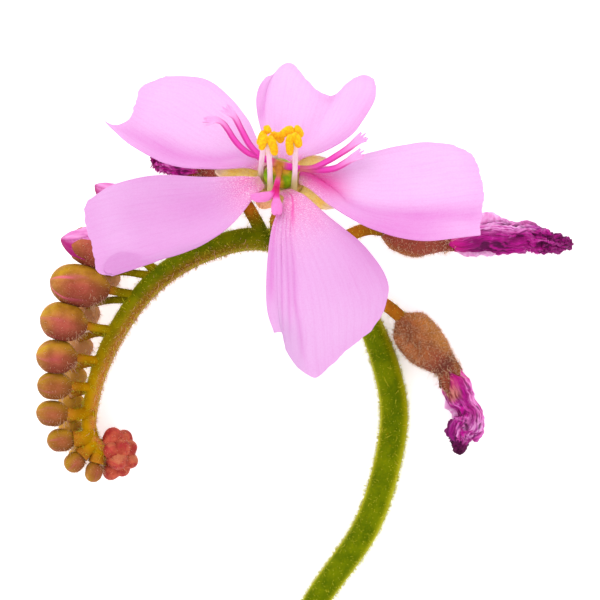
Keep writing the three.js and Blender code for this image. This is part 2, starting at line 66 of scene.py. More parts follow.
# ---------- driving values of the finer pieces ----------

CLAW_WIDTH = 1.0
PETAL_THICKNESS = 0.2
SEPAL_THICKNESS = 0.2
OVARY_RADIUS = 1.08
OVARY_HEIGHT = 1.25
SAC_RADIUS = 0.27
VEINS = 17  # across a petal
CRUMPLE = 0.75  # how far the folds of a dry corolla go in and out, as a share of its radius

HAIR_RADIUS = 0.011
HAIR_ROOT = 0.02  # a hair starts this deep in the surface
HAIR_MIDDLE = 0.55  # and bends here, as a share of its length
HAIR_REACH = 0.9  # how far its tip reaches in its first direction, as a share of its length
CLEARANCE = 0.02  # hairs that would come nearer to the floor than this are left out

# ---------- camera, floor and light ----------

CAMERA_SPOT = (1.292, -7.817, 600)  # straight above the middle of the view
VIEW_WIDTH = 39.0  # seen at the height of VIEW_LEVEL
VIEW_LEVEL = 6.0
SENSOR = 36.0

AMBIENT = 1.27
KEY_POWER = 0.38
KEY_SIZE = 0.28
FLOOR_GLOW = 0.4  # a light table, so that shadows on it stay faint
KEY_SPOT = (-0.16, 0.17, 0.28)
FLOOR_REACH = 0.7
FLOOR_LEVEL = -0.00002  # just below the plant
WHITE = (1, 1, 1, 1)


def colour(red, green, blue):
    """Linear colour from the usual 0 to 255 values."""
    def linear(value):
        share = value / 255
        return share / 12.92 if share <= 0.04045 else ((share + 0.055) / 1.055) ** 2.4
    return (linear(red), linear(green), linear(blue), 1.0)


def in_frame(places):
    """From millimetres in the plan to metres in the frame."""
    return (np.asarray(places) - [*PLAN_CENTRE, 0]) * MM


def make_camera():
    data = bpy.data.cameras.new("camera")
    data.sensor_width = SENSOR
    data.lens = SENSOR * (CAMERA_SPOT[2] - VIEW_LEVEL) / VIEW_WIDTH
    data.clip_start = 0.01
    data.clip_end = 10
    camera = bpy.data.objects.new("camera", data)
    camera.location = in_frame(CAMERA_SPOT)
    bpy.context.scene.collection.objects.link(camera)
    bpy.context.scene.camera = camera


def make_light():
    world = bpy.data.worlds.new("studio")
    world.use_nodes = True
    background = world.node_tree.nodes["Background"]
    background.inputs["Color"].default_value = WHITE
    background.inputs["Strength"].default_value = AMBIENT
    bpy.context.scene.world = world
    data = bpy.data.lights.new("softbox", "AREA")
    data.energy = KEY_POWER
    data.size = KEY_SIZE
    softbox = bpy.data.objects.new("softbox", data)
    softbox.location = KEY_SPOT
    softbox.rotation_mode = "QUATERNION"
    softbox.rotation_quaternion = (-Vector(KEY_SPOT)).to_track_quat("-Z", "Y")
    bpy.context.scene.collection.objects.link(softbox)
    bpy.context.scene.view_settings.view_transform = "Standard"


def make_floor():
    corners = [(x * FLOOR_REACH, y * FLOOR_REACH, FLOOR_LEVEL)
               for x, y in ((-1, -1), (1, -1), (1, 1), (-1, 1))]
    mesh = bpy.data.meshes.new("floor")
    mesh.from_pydata(corners, [], [(0, 1, 2, 3)])
    finish = Finish("floor_paper", roughness=0.9, specular=0.1)
    finish.paint(finish.blend(finish.noise(4.0), (249, 249, 250), (252, 252, 252)))
    finish.shader.inputs["Emission Color"].default_value = WHITE
    finish.shader.inputs["Emission Strength"].default_value = FLOOR_GLOW
    mesh.materials.append(finish.material)
    floor = bpy.data.objects.new("floor", mesh)
    bpy.context.scene.collection.objects.link(floor)


# ---------- materials ----------


class Finish:
    """A node material. Most methods add a node and return its output.

    What they take can be a number, an output, the name of a value that each point of the mesh
    carries, or a colour as three numbers from 0 to 255.
    """

    def __init__(self, name, roughness, specular):
        self.material = bpy.data.materials.new(name)
        self.material.use_nodes = True
        self.tree = self.material.node_tree
        self.shader = self.tree.nodes["Principled BSDF"]
        self.shader.inputs["Roughness"].default_value = roughness
        self.shader.inputs["Specular IOR Level"].default_value = specular
        self.place = None

    def node(self, kind, inputs, **settings):
        """Adds a node and returns its outputs."""
        made = self.tree.nodes.new(kind)
        for key, value in settings.items():
            setattr(made, key, value)
        for key, value in inputs.items():
            self.feed(made.inputs[key], value)
        return made.outputs

    def feed(self, socket, value):
        if isinstance(value, str):
            value = self.node("ShaderNodeAttribute", {}, attribute_name=value)["Fac"]
        if isinstance(value, bpy.types.NodeSocket):
            self.tree.links.new(value, socket)
        elif socket.type == "RGBA" and len(value) == 3:
            socket.default_value = colour(*value)
        else:
            socket.default_value = value

    def position(self):
        """Place in millimetres."""
        if self.place is None:
            where = self.node("ShaderNodeTexCoord", {})["Object"]
            self.place = self.node("ShaderNodeMapping", {"Vector": where, "Scale": (1 / MM,) * 3})["Vector"]
        return self.place

    def lanes(self, long):
        """A place along and across a piece, for noise that is drawn out along it."""
        return self.node("ShaderNodeCombineXYZ", {0: self.times("along", long), 1: "across"})[0]

    def noise(self, size, detail=2.0, place=None, rough=0.55):
        """Noise from 0 to 1 with lumps about this size across."""
        place = self.position() if place is None else place
        inputs = {"Scale": 1 / size, "Detail": detail, "Roughness": rough, "Vector": place}
        return self.node("ShaderNodeTexNoise", inputs)["Fac"]

    def cells(self, size):
        """Distance to the middle of the nearest of many cells about this size across."""
        inputs = {"Scale": 1 / size, "Vector": self.position()}
        return self.node("ShaderNodeTexVoronoi", inputs)["Distance"]

    def calculate(self, operation, first, second=0.0, clamp=False):
        inputs = {0: first, 1: second}
        return self.node("ShaderNodeMath", inputs, operation=operation, use_clamp=clamp)[0]

    def times(self, first, second):
        return self.calculate("MULTIPLY", first, second)

    def total(self, *values):
        sum_so_far = values[0]
        for value in values[1:]:
            sum_so_far = self.calculate("ADD", sum_so_far, value, clamp=True)
        return sum_so_far

    def spread(self, value, low, high, to_low=0.0, to_high=1.0):
        """A smooth step of a value between low and high."""
        inputs = {"Value": value, "From Min": low, "From Max": high, "To Min": to_low, "To Max": to_high}
        return self.node("ShaderNodeMapRange", inputs, interpolation_type="SMOOTHSTEP")["Result"]

    def blend(self, factor, first, second):
        """One colour, and a second one over it as far as factor says."""
        return self.node("ShaderNodeMix", {0: factor, 6: first, 7: second}, data_type="RGBA")[2]

    def mottle(self, value, first, second, low=0.3, high=0.7):
        """One colour where a value is low, and a second one where it is high."""
        return self.blend(self.spread(value, low, high), first, second)

    def bump(self, height, depth, strength):
        """Relief of this depth in millimetres."""
        inputs = {"Height": height, "Distance": depth * MM, "Strength": strength}
        self.feed(self.shader.inputs["Normal"], self.node("ShaderNodeBump", inputs)["Normal"])

    def paint(self, tint, translucent=0.0):
        """Sets the colour, and the share of light that passes through."""
        self.feed(self.shader.inputs["Base Color"], tint)
        if translucent:
            through = self.node("ShaderNodeBsdfTranslucent", {"Color": self.blend(0.5, tint, WHITE)})
            inputs = {0: translucent, 1: self.shader.outputs["BSDF"], 2: through["BSDF"]}
            mixed = self.node("ShaderNodeMixShader", inputs)
            self.feed(self.tree.nodes["Material Output"].inputs["Surface"], mixed["Shader"])


# ---------- curves and fields ----------


def unit(vectors):
    return vectors / np.maximum(np.linalg.norm(vectors, axis=-1, keepdims=True), 1e-12)


def smoothstep(value, low, high):
    share = np.clip((value - low) / (high - low), 0, 1)
    return share * share * (3 - 2 * share)


def smooth_curve(points, places):
    """Centripetal Catmull-Rom curve through points, at places from 0 to 1."""
    points = np.asarray(points, float)
    spans = len(points) - 1
    padded = np.vstack([2 * points[0] - points[1], points, 2 * points[-1] - points[-2]])
    place = np.clip(np.asarray(places, float), 0, 1) * spans
    span = np.minimum(place.astype(int), spans - 1)
    share = (place - span)[..., None]
    p0, p1, p2, p3 = (padded[span + k] for k in range(4))

    def gap(a, b):
        return np.maximum(np.linalg.norm(b - a, axis=-1, keepdims=True), 1e-8) ** 0.5

    d0, d1, d2 = gap(p0, p1), gap(p1, p2), gap(p2, p3)
    leave = ((p1 - p0) / d0 - (p2 - p0) / (d0 + d1) + (p2 - p1) / d1) * d1
    arrive = ((p2 - p1) / d1 - (p3 - p1) / (d1 + d2) + (p3 - p2) / d2) * d1
    square, cube = share**2, share**3
    return (p1 * (2 * cube - 3 * square + 1) + leave * (cube - 2 * square + share)
            + p2 * (3 * square - 2 * cube) + arrive * (cube - square))


def even_curve(points, places):
    """The same curve, with places measured along its length."""
    dense = np.linspace(0, 1, 401)
    steps = np.linalg.norm(np.diff(smooth_curve(points, dense), axis=0), axis=1)
    length = np.concatenate([[0], np.cumsum(steps)])
    return smooth_curve(points, np.interp(np.asarray(places) * length[-1], length, dense))


def noise_at(points, size, seed=0.0):
    """Smooth noise from -1 to 1 with lumps about this size across."""
    points = np.asarray(points, float)
    scaled = (points.reshape(-1, 3) / size + seed).tolist()
    return np.array([noise.noise(place) for place in scaled]).reshape(points.shape[:-1])


def grid(rows, columns, low=0.0, high=1.0):
    """Places down and across a sheet: rows from low to high, columns from -1 to 1."""
    return np.meshgrid(np.linspace(low, high, rows + 1), np.linspace(-1, 1, columns + 1), indexing="ij")


def around(sides):
    """Directions round a body."""
    return np.arange(sides)[None] * TURN / sides


def wrap(rows, sides, start=0.0):
    """Places along a body and directions round it."""
    return np.linspace(start, 1, rows + 1)[:, None], around(sides)


def read(pairs, places):
    """Value at each place of a broken line through pairs of place and value."""
    return np.interp(places, *zip(*pairs))


class Track:
    """A smooth line with a radius, given as a function or as a list, and directions across it."""

    def __init__(self, points, radius, up=(0, 0, 1)):
        self.points, self.up, self.radius = points, up, radius
        if not callable(radius):
            self.radius = lambda t: np.interp(t, np.linspace(0, 1, len(radius)), radius)

    def centre(self, t):
        return smooth_curve(self.points, t)

    def axes(self, t):
        step = 1e-3
        direction = unit(self.centre(np.clip(t + step, 0, 1)) - self.centre(np.clip(t - step, 0, 1)))
        side = unit(np.cross(self.up, direction))
        return direction, side, np.cross(direction, side)

    def at(self, t, angle, share=1.0, lift=0.0):
        """Points round the line: share of its radius, plus lift."""
        t, angle = np.broadcast_arrays(t, angle)
        _, side, over = self.axes(t)
        reach = (self.radius(t) * share + lift)[..., None]
        return self.centre(t) + reach * (np.cos(angle)[..., None] * side + np.sin(angle)[..., None] * over)

    def outward(self, points, t):
        """Directions from the line to points round it."""
        return unit(points - self.centre(t))

    def facing(self, points, t, direction):
        """How far a surface round the line faces a direction, from -1 to 1."""
        return np.sum(self.outward(points, t) * unit(np.array(direction, float)), axis=-1)

    def roughened(self, points, t, size, reach, seed):
        """Points moved out and in by noise."""
        return points + reach * noise_at(points, size, seed)[..., None] * self.outward(points, t)


# ---------- shapes ----------


def loft(rings):
    """A closed body over a grid of rings: points and triangles."""
    rows, sides = rings.shape[:2]
    here = np.arange(rows * sides).reshape(rows, sides)
    following = np.roll(here, -1, axis=1)
    a, b, c, d = here[:-1], following[:-1], following[1:], here[1:]
    walls = [np.stack([a, b, c], -1).reshape(-1, 3), np.stack([a, c, d], -1).reshape(-1, 3)]
    start, end = np.full(sides, rows * sides), np.full(sides, rows * sides + 1)
    caps = [np.stack([start, following[0], here[0]], -1), np.stack([end, here[-1], following[-1]], -1)]
    points = np.vstack([rings.reshape(-1, 3), rings[0].mean(0), rings[-1].mean(0)])
    return points, np.vstack(walls + caps)


def leaf(middle, thickness):
    """A closed thin sheet round a grid of middle points: points and triangles."""
    rows, columns = middle.shape[:2]
    normal = unit(np.cross(np.gradient(middle, axis=0), np.gradient(middle, axis=1)))
    half = np.broadcast_to(thickness, (rows, columns))[..., None] / 2
    points = np.vstack([(middle + normal * half).reshape(-1, 3), (middle - normal * half).reshape(-1, 3)])
    here = np.arange(rows * columns).reshape(rows, columns)
    a, b, c, d = here[:-1, :-1], here[1:, :-1], here[1:, 1:], here[:-1, 1:]
    front = np.vstack([np.stack([a, b, c], -1).reshape(-1, 3), np.stack([a, c, d], -1).reshape(-1, 3)])
    under = rows * columns
    back = front[:, ::-1] + under
    rim = np.concatenate([here[0, :-1], here[:-1, -1], here[-1, :0:-1], here[:0:-1, 0]])
    ahead = np.roll(rim, -1)
    edge = np.vstack([np.stack([rim, ahead, ahead + under], -1),
                      np.stack([rim, ahead + under, rim + under], -1)])
    return points, np.vstack([front, back, edge])


def repeated(faces, points, count):
    """The faces of so many copies of a body with so many points."""
    return (faces[None] + points * np.arange(count)[:, None, None]).reshape(-1, 3)


# a hair: three points at its root, three at its bend and one at its tip
HAIR_ALONG = [0, 0, 0, 0.5, 0.5, 0.5, 1]
HAIR_FACES = np.array([[0, 1, 4], [0, 4, 3], [1, 2, 5], [1, 5, 4], [2, 0, 3], [2, 3, 5],
                       [3, 4, 6], [4, 5, 6], [5, 3, 6], [0, 2, 1]])


class Shape:
    """Triangles in the plan, or in the open flower's frame, with named values for each point."""

    def __init__(self, in_flower=False):
        self.in_flower = in_flower
        self.points, self.faces, self.parts, self.values = [], [], [], {}
        self.count = 0

    def add(self, points, faces, part=0, **values):
        if self.in_flower:
            points = plan_of_flower(points)
        for name in sorted(set(self.values) | set(values)):
            series = self.values.setdefault(name, [np.zeros(self.count)])
            series.append(np.broadcast_to(values.get(name, 0.0), len(points)))
        self.points.append(points)
        self.faces.append(faces + self.count)
        self.parts.append(np.full(len(faces), part))
        self.count += len(points)

    def add_loft(self, rings, **values):
        points, faces = loft(rings)
        spread = {}
        for name, value in values.items():
            full = np.broadcast_to(value, rings.shape[:2])
            spread[name] = np.concatenate([full.ravel(), [full[0].mean(), full[-1].mean()]])
        self.add(points, faces, **spread)

    def add_leaf(self, middle, thickness, part=0, **values):
        points, faces = leaf(middle, thickness)
        spread = {name: np.tile(np.broadcast_to(value, middle.shape[:2]).ravel(), 2)
                  for name, value in values.items()}
        self.add(points, faces, part, **spread)

    def add_hairs(self, roots, directions, lengths, radius, bend):
        """Tapered hairs: each bends from its direction by a vector, a share of its length."""
        side = unit(np.cross(directions, [0.31, 0.52, 0.79]))
        over = np.cross(directions, side)
        lengths, count = lengths[:, None], len(roots)
        middle = roots + directions * lengths * HAIR_MIDDLE
        tip = roots + (directions * HAIR_REACH + bend) * lengths
        points = []
        for centre, share in ((roots - directions * HAIR_ROOT, 1.0), (middle, 0.75)):
            for turn in (0, TURN / 3, 2 * TURN / 3):
                points.append(centre + radius * share * (math.cos(turn) * side + math.sin(turn) * over))
        points = np.stack(points + [tip], axis=1).reshape(-1, 3)
        self.add(points, repeated(HAIR_FACES, len(HAIR_ALONG), count), along=np.tile(HAIR_ALONG, count))

    def join(self, other):
        points, faces, _, values = other.arrays()
        self.add(points, faces, **values)

    def keep_above(self, level):
        for points in self.points:
            points[:, 2] = np.maximum(points[:, 2], level)

    def arrays(self):
        values = {name: np.concatenate(series) for name, series in self.values.items()}
        return np.vstack(self.points), np.vstack(self.faces), np.concatenate(self.parts), values

    def scatter(self, count, rng, weight=None):
        """Random places on the surface, with the surface's direction there."""
        points, faces, _, values = self.arrays()
        a, b, c = (points[faces[:, k]] for k in range(3))
        across = np.cross(b - a, c - a)
        odds = np.linalg.norm(across, axis=1)
        if weight is not None:
            odds = odds * np.maximum(weight(values)[faces].mean(1), 0)
        pick = rng.choice(len(faces), count, p=odds / odds.sum())
        u, v = rng.random((2, count, 1))
        flip = u + v > 1
        u, v = np.where(flip, 1 - u, u), np.where(flip, 1 - v, v)
        return a[pick] + u * (b - a)[pick] + v * (c - a)[pick], unit(across[pick])


def plan_of_flower(points):
    """From the open flower's frame to the plan."""
    u, v, w = points[..., 0], points[..., 1], points[..., 2]
    sine, cosine = math.sin(FLOWER_TILT), math.cos(FLOWER_TILT)
    return np.stack([u, v * cosine + w * sine, FLOWER_HEIGHT - v * sine + w * cosine], -1)


def piece(name, shape, materials, replaces=(), crease=70):
    """Makes a shape an object of the frame."""
    points, faces, parts, values = shape.arrays()
    mesh = bpy.data.meshes.new(name)
    mesh.from_pydata(in_frame(points).tolist(), [], faces.tolist())
    for finish in materials:
        mesh.materials.append(finish.material)
    mesh.polygons.foreach_set("material_index", parts.astype(np.int32))
    mesh.polygons.foreach_set("use_smooth", np.ones(len(faces), bool))
    mesh.set_sharp_from_angle(angle=math.radians(crease))
    for label, value in values.items():
        mesh.attributes.new(label, "FLOAT", "POINT").data.foreach_set("value", value.astype(np.float32))
    mesh.update()
    made = bpy.data.objects.new(name, mesh)
    bpy.context.scene.collection.objects.link(made)
    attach(made, "root")
    if replaces:
        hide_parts(*replaces)


def spread_hairs(hairs, surface, count, length, seed, weight=None, lean=(0, 0, 0),
                 radius=HAIR_RADIUS, loose=0.35):
    """Hairs over a surface, none of them through the floor.

    Length is the shortest and the longest. Weight, if given, says from the surface's values how
    dense the hairs are.
    """
    rng = np.random.default_rng(seed)
    roots, normals = surface.scatter(count, rng, weight)
    directions = unit(normals + rng.normal(0, loose, (count, 3)) + lean)
    bend = rng.normal(0, loose, (count, 3)) + np.asarray(lean) * 0.6
    lengths = rng.uniform(*length, count)
    drop = np.minimum(HAIR_MIDDLE * directions[:, 2], HAIR_REACH * directions[:, 2] + bend[:, 2])
    clear = roots[:, 2] + drop * lengths > CLEARANCE
    hairs.add_hairs(roots[clear], directions[clear], lengths[clear], radius, bend[clear])


# ---------- stem ----------

# middle line from the cut to the coiled tip, and the radius at each point, fitted to the photo
STEM = [
    (-0.67, -34.37, 0.74, 0.80), (0.60, -30.90, 0.74, 0.80), (2.42, -27.44, 0.74, 0.82),
    (5.57, -22.80, 0.76, 0.87), (6.88, -19.11, 0.77, 0.88), (7.46, -15.36, 0.80, 0.92),
    (6.98, -12.40, 0.96, 0.87), (5.55, -8.80, 1.40, 0.76), (2.93, -5.20, 2.10, 0.72),
    (-1.45, -3.83, 2.65, 0.75), (-5.22, -4.73, 3.30, 0.72), (-8.33, -6.75, 4.00, 0.71),
    (-10.56, -9.74, 4.00, 0.63), (-11.99, -13.00, 3.30, 0.53), (-12.50, -15.91, 2.50, 0.48),
    (-12.24, -17.05, 2.25, 0.48), (-11.50, -17.75, 2.00, 0.50),
]
ARCH_CENTRE = (-3.2, -13.5)  # the side of the arch that faces it is brown
ARCH_START, ARCH_FULL = 0.48, 0.66  # shares of the stem's length
GOLD_START, GOLD_FULL = 0.66, 0.88  # between them it turns yellow towards the tip


def on_flower_axis(w):
    return tuple(plan_of_flower(np.array([0.0, 0.0, w])))


# stalks of the open and the withered flowers, from the middle of the stem
FLOWER_STALKS = {
    "open": [(-0.11, -3.76, 2.5), (-0.21, -3.12, 4.0), (-0.25, -2.60, 5.4),
             on_flower_axis(CUP_FOOT - 0.8), on_flower_axis(CUP_FOOT + 0.15)],
    "withered_1": [(5.02, -7.23, 1.75), (6.00, -7.62, 2.0), (6.92, -8.14, 2.1), (8.05, -9.10, 1.96)],
    "withered_2": [(2.93, -5.13, 2.1), (3.78, -4.09, 2.3), (4.69, -3.50, 2.4), (5.74, -3.17, 2.3),
                   (6.65, -3.23, 2.15)],
    "withered_3": [(-1.19, -3.63, 2.65), (-1.58, -2.65, 2.8), (-2.04, -1.87, 2.7), (-2.66, -0.96, 2.45)],
}

# buds: place of the stalk on the stem, foot and tip of the bud, largest radius
FRONT_BUDS = [
    ((-9.21, -7.56, 4.05), (-11.15, -7.17, 4.5), (-14.99, -6.51, 4.9), 1.40),
    ((-10.64, -9.84, 4.0), (-12.59, -9.51, 4.4), (-15.64, -8.92, 4.7), 1.28),
    ((-11.50, -11.86, 3.6), (-13.25, -11.60, 4.1), (-15.91, -11.40, 4.4), 1.12),
    ((-11.97, -13.56, 3.2), (-13.59, -13.43, 3.6), (-15.86, -13.36, 3.9), 0.92),
    ((-12.24, -15.07, 2.75), (-13.80, -15.26, 3.1), (-15.94, -15.13, 3.4), 0.86),
    ((-12.31, -16.38, 2.4), (-13.41, -16.90, 2.7), (-15.24, -17.03, 3.0), 0.77),
    ((-12.12, -17.11, 2.25), (-12.96, -17.89, 2.4), (-13.94, -18.93, 2.6), 0.66),
    ((-11.75, -17.60, 2.1), (-12.02, -18.35, 2.1), (-12.38, -19.72, 2.2), 0.58),
]
REAR_BUDS = [
    ((-8.56, -6.71, 4.0), (-10.61, -6.51, 2.5), (-12.74, -5.98, 1.22), 1.20),
    ((-9.60, -8.20, 4.1), (-11.92, -8.58, 2.30), (-13.80, -8.98, 1.12), 1.08),
    ((-11.05, -10.60, 3.85), (-12.36, -10.72, 2.15), (-14.18, -11.25, 1.04), 0.95),
    ((-11.80, -12.70, 3.4), (-12.78, -12.68, 2.0), (-14.35, -13.12, 0.94), 0.86),
    ((-12.17, -14.42, 2.95), (-12.91, -14.40, 1.7), (-14.51, -14.77, 0.84), 0.82),
    ((-12.31, -15.79, 2.55), (-13.05, -15.87, 1.5), (-14.45, -16.34, 0.74), 0.72),
    ((-12.18, -16.84, 2.3), (-12.66, -17.38, 1.3), (-13.73, -18.31, 0.64), 0.62),
]
REAR_ARCH = (0.10, 0.62, 0.80)  # the rear stalks bend up under the front buds,
REAR_ENTRY = (-0.70, 0.42, 0.30)  # enter their buds from above,
REAR_LEAD = 0.45  # and leave the stem this much nearer to the flower than the front ones
REAR_SHARE = 0.88  # of the rear buds' radius: they are slimmer than in the CAD model
OPENING_BUDS = [
    ((-8.04, -5.99, 3.85), (-9.80, -4.90, 4.35), (-14.27, -3.86, 5.05), 1.40),
    ((-6.21, -5.08, 3.5), (-7.90, -3.10, 2.8), (-12.13, -0.29, 1.6), 1.20),
]


def stem_finish():
    finish = Finish("stem_skin", roughness=0.6, specular=0.02)
    patches = finish.noise(1.1, detail=3)
    grain = finish.noise(0.13, detail=3)
    green = finish.mottle(patches, (76, 94, 0), (102, 114, 0))
    green = finish.blend(finish.spread(grain, 0.5, 0.75, 0, 0.4), green, (140, 138, 4))
    # painted light: yellower green on the sides of the stem, most on the right
    green = finish.blend(finish.times("sun", 0.85), green, (160, 154, 2))
    ochre = finish.mottle(patches, (146, 100, 0), (172, 124, 0))
    green = finish.blend("gold", green, ochre)
    brown = finish.mottle(patches, (140, 78, 12), (182, 108, 24))
    tint = finish.blend("stalk", green, brown)
    russet = finish.mottle(grain, (108, 68, 8), (144, 98, 26), 0.35, 0.65)
    salmon = finish.mottle(grain, (176, 96, 40), (198, 124, 66), 0.35, 0.65)
    russet = finish.blend("gold", russet, salmon)
    blush = finish.times("blush", finish.spread(patches, 0.1, 0.5, 0.75, 1.0))
    tint = finish.blend(blush, tint, russet)
    # painted rim light: paler yellow along the stem's sides
    rim = finish.times("rim", finish.spread(grain, 0.3, 0.6, 0.6, 1.0))
    tint = finish.blend(rim, tint, (186, 186, 56))
    spots = finish.times(finish.spread(finish.noise(0.35), 0.72, 0.78), finish.spread(patches, 0.4, 0.6))
    tint = finish.blend(finish.times(spots, 0.8), tint, (184, 96, 10))
    pith = finish.blend(finish.noise(0.12), (150, 164, 74), (196, 204, 130))
    finish.paint(finish.blend("cut", tint, pith))
    finish.bump(grain, 0.008, 0.7)
    return finish


def hair_finish(name, root, tip, through=0.5):
    finish = Finish(name, roughness=0.4, specular=0.1)
    finish.paint(finish.blend("along", root, tip), translucent=through)
    return finish


def stem_body():
    """The stem itself, flat underneath where it lies."""
    track = Track([point[:3] for point in STEM], [point[3] for point in STEM])
    t, angle = wrap(420, 40)
    share = 1 + 0.012 * np.cos(9 * angle + 20 * t) + 0.01 * np.cos(4 * angle - 31 * t)
    rings = track.at(t, angle, share)
    rings[..., 2] = np.maximum(rings[..., 2], 0)
    outward = track.outward(rings, t)
    inward = unit(np.array(ARCH_CENTRE) - rings[..., :2])
    inner = np.sum(outward[..., :2] * inward, axis=-1)
    blush = smoothstep(inner, -0.35, 0.9) * smoothstep(t, ARCH_START, ARCH_FULL)
    east = outward[..., 0]
    # painted light on both sides of the stem, most on the right, none on the arch
    sun = smoothstep(east, 0.45, 0.95) + 0.7 * smoothstep(-east, 0.65, 0.98)
    sun = sun * (1 - smoothstep(t, 0.48, 0.53))
    strip = 0.25 * smoothstep(t, 0.38, 0.44) * (east > 0)  # the painted rim light is wider at the upper right
    # painted rim light where the stem's sides turn away from the camera
    rim = smoothstep(np.abs(outward[..., 2]), 0.55 + strip, 0.2 + strip)
    rim = rim * (1 - 0.6 * smoothstep(t, 0.47, 0.53))
    shape = Shape()
    shape.add_loft(rings, blush=blush, cut=t == 0, sun=sun, rim=rim,
                   gold=smoothstep(t, GOLD_START, GOLD_FULL))
    return shape


def stalk(shape, points, radii, brown, flare, gold=0.0, blush=0.25):
    """A stalk that leaves the stem with a flare."""
    t, angle = wrap(30, 18)
    share = 1 + flare * np.exp(-t / 0.12) + 0.03 * np.cos(3 * angle + 9 * t)
    rings = Track(points, radii, up=(0.3, 1, 0.2)).at(t, angle, share)
    shape.add_loft(rings, stalk=brown(t), blush=blush * smoothstep(t, 0.4, 1), gold=gold)


def stalks():
    shape = Shape()
    for name, points in FLOWER_STALKS.items():
        stalk(shape, points, [PEDICEL_RADIUS] * len(points), lambda t: smoothstep(t, 0.1, 0.7), 0.45,
              blush=0.9 if name == "withered_2" else 0.25)
    for root, foot, tip, _ in FRONT_BUDS + OPENING_BUDS:
        bud_stalk(shape, root, foot, tip, (0.9, 1.0, 1.1), 0.25)
    for root, foot, tip, _ in REAR_BUDS:
        start = (root[0] + 0.3 * REAR_LEAD, root[1] + REAR_LEAD, root[2])
        bud_stalk(shape, start, foot, tip, (0.85, 0.8, 0.95), 0.3, REAR_ARCH, REAR_ENTRY)
    return shape


def bud_stalk(shape, root, foot, tip, widths, brown_from, arch=(0, 0, 0), entry=(0, 0, 0)):
    """A stalk from the stem to the foot of a bud, its middle moved by arch and its end by entry."""
    direction = unit(np.array(tip) - foot)
    end = np.array(foot) + 0.15 * direction + entry
    points = [root, np.array(foot) - 0.5 * direction + arch, end]
    gold = smoothstep(-root[1], 8.0, 13.0)  # yellower towards the tip, as the stem is
    crowded = smoothstep(-root[1], 13.0, 17.0)  # the last stalks are short and thick
    radii = [BUD_STALK_RADIUS * share * (1 + 0.75 * crowded) for share in widths]
    brown = 0.9 - 0.4 * gold
    gold = 0.35 + 0.65 * gold
    flare = 0.6 - 0.45 * crowded
    stalk(shape, points, radii, lambda t: brown * smoothstep(t, brown_from, brown_from + 0.75), flare, gold)


def make_stem():
    body = stem_body()
    twigs = stalks()
    hairs, warm = Shape(), Shape()
    spread_hairs(hairs, body, 3200, (0.09, 0.26), 11, lambda values: 1 - values["cut"], radius=0.014)
    spread_hairs(hairs, body, 260, (0.3, 0.6), 12, lambda values: 1 - values["cut"],
                 lean=(0.1, -0.5, 0.1), radius=0.02, loose=0.5)
    spread_hairs(hairs, body, 2900, (0.12, 0.30), 17,
                 lambda values: values["rim"] * (1 - values["blush"]), radius=0.014)
    spread_hairs(warm, body, 1200, (0.12, 0.30), 13, lambda values: values["blush"],
                 radius=0.013, loose=0.45)
    spread_hairs(warm, body, 130, (0.22, 0.40), 16, lambda values: values["blush"] * (1 - values["rim"]),
                 lean=(-0.4, -0.9, 0), radius=0.026, loose=0.3)
    spread_hairs(hairs, twigs, 2400, (0.10, 0.30), 14, radius=0.013)
    spread_hairs(hairs, twigs, 130, (0.3, 0.6), 15, radius=0.016, loose=0.5)
    body.join(twigs)
    piece("stem", body, [stem_finish()], ["scape"], crease=50)
    piece("stem_hairs", hairs,
          [hair_finish("stem_hair", (168, 168, 0), (226, 214, 60), through=0.2)])
    piece("stem_warm_hairs", warm,
          [hair_finish("stem_warm_hair", (190, 120, 70), (240, 204, 160))])
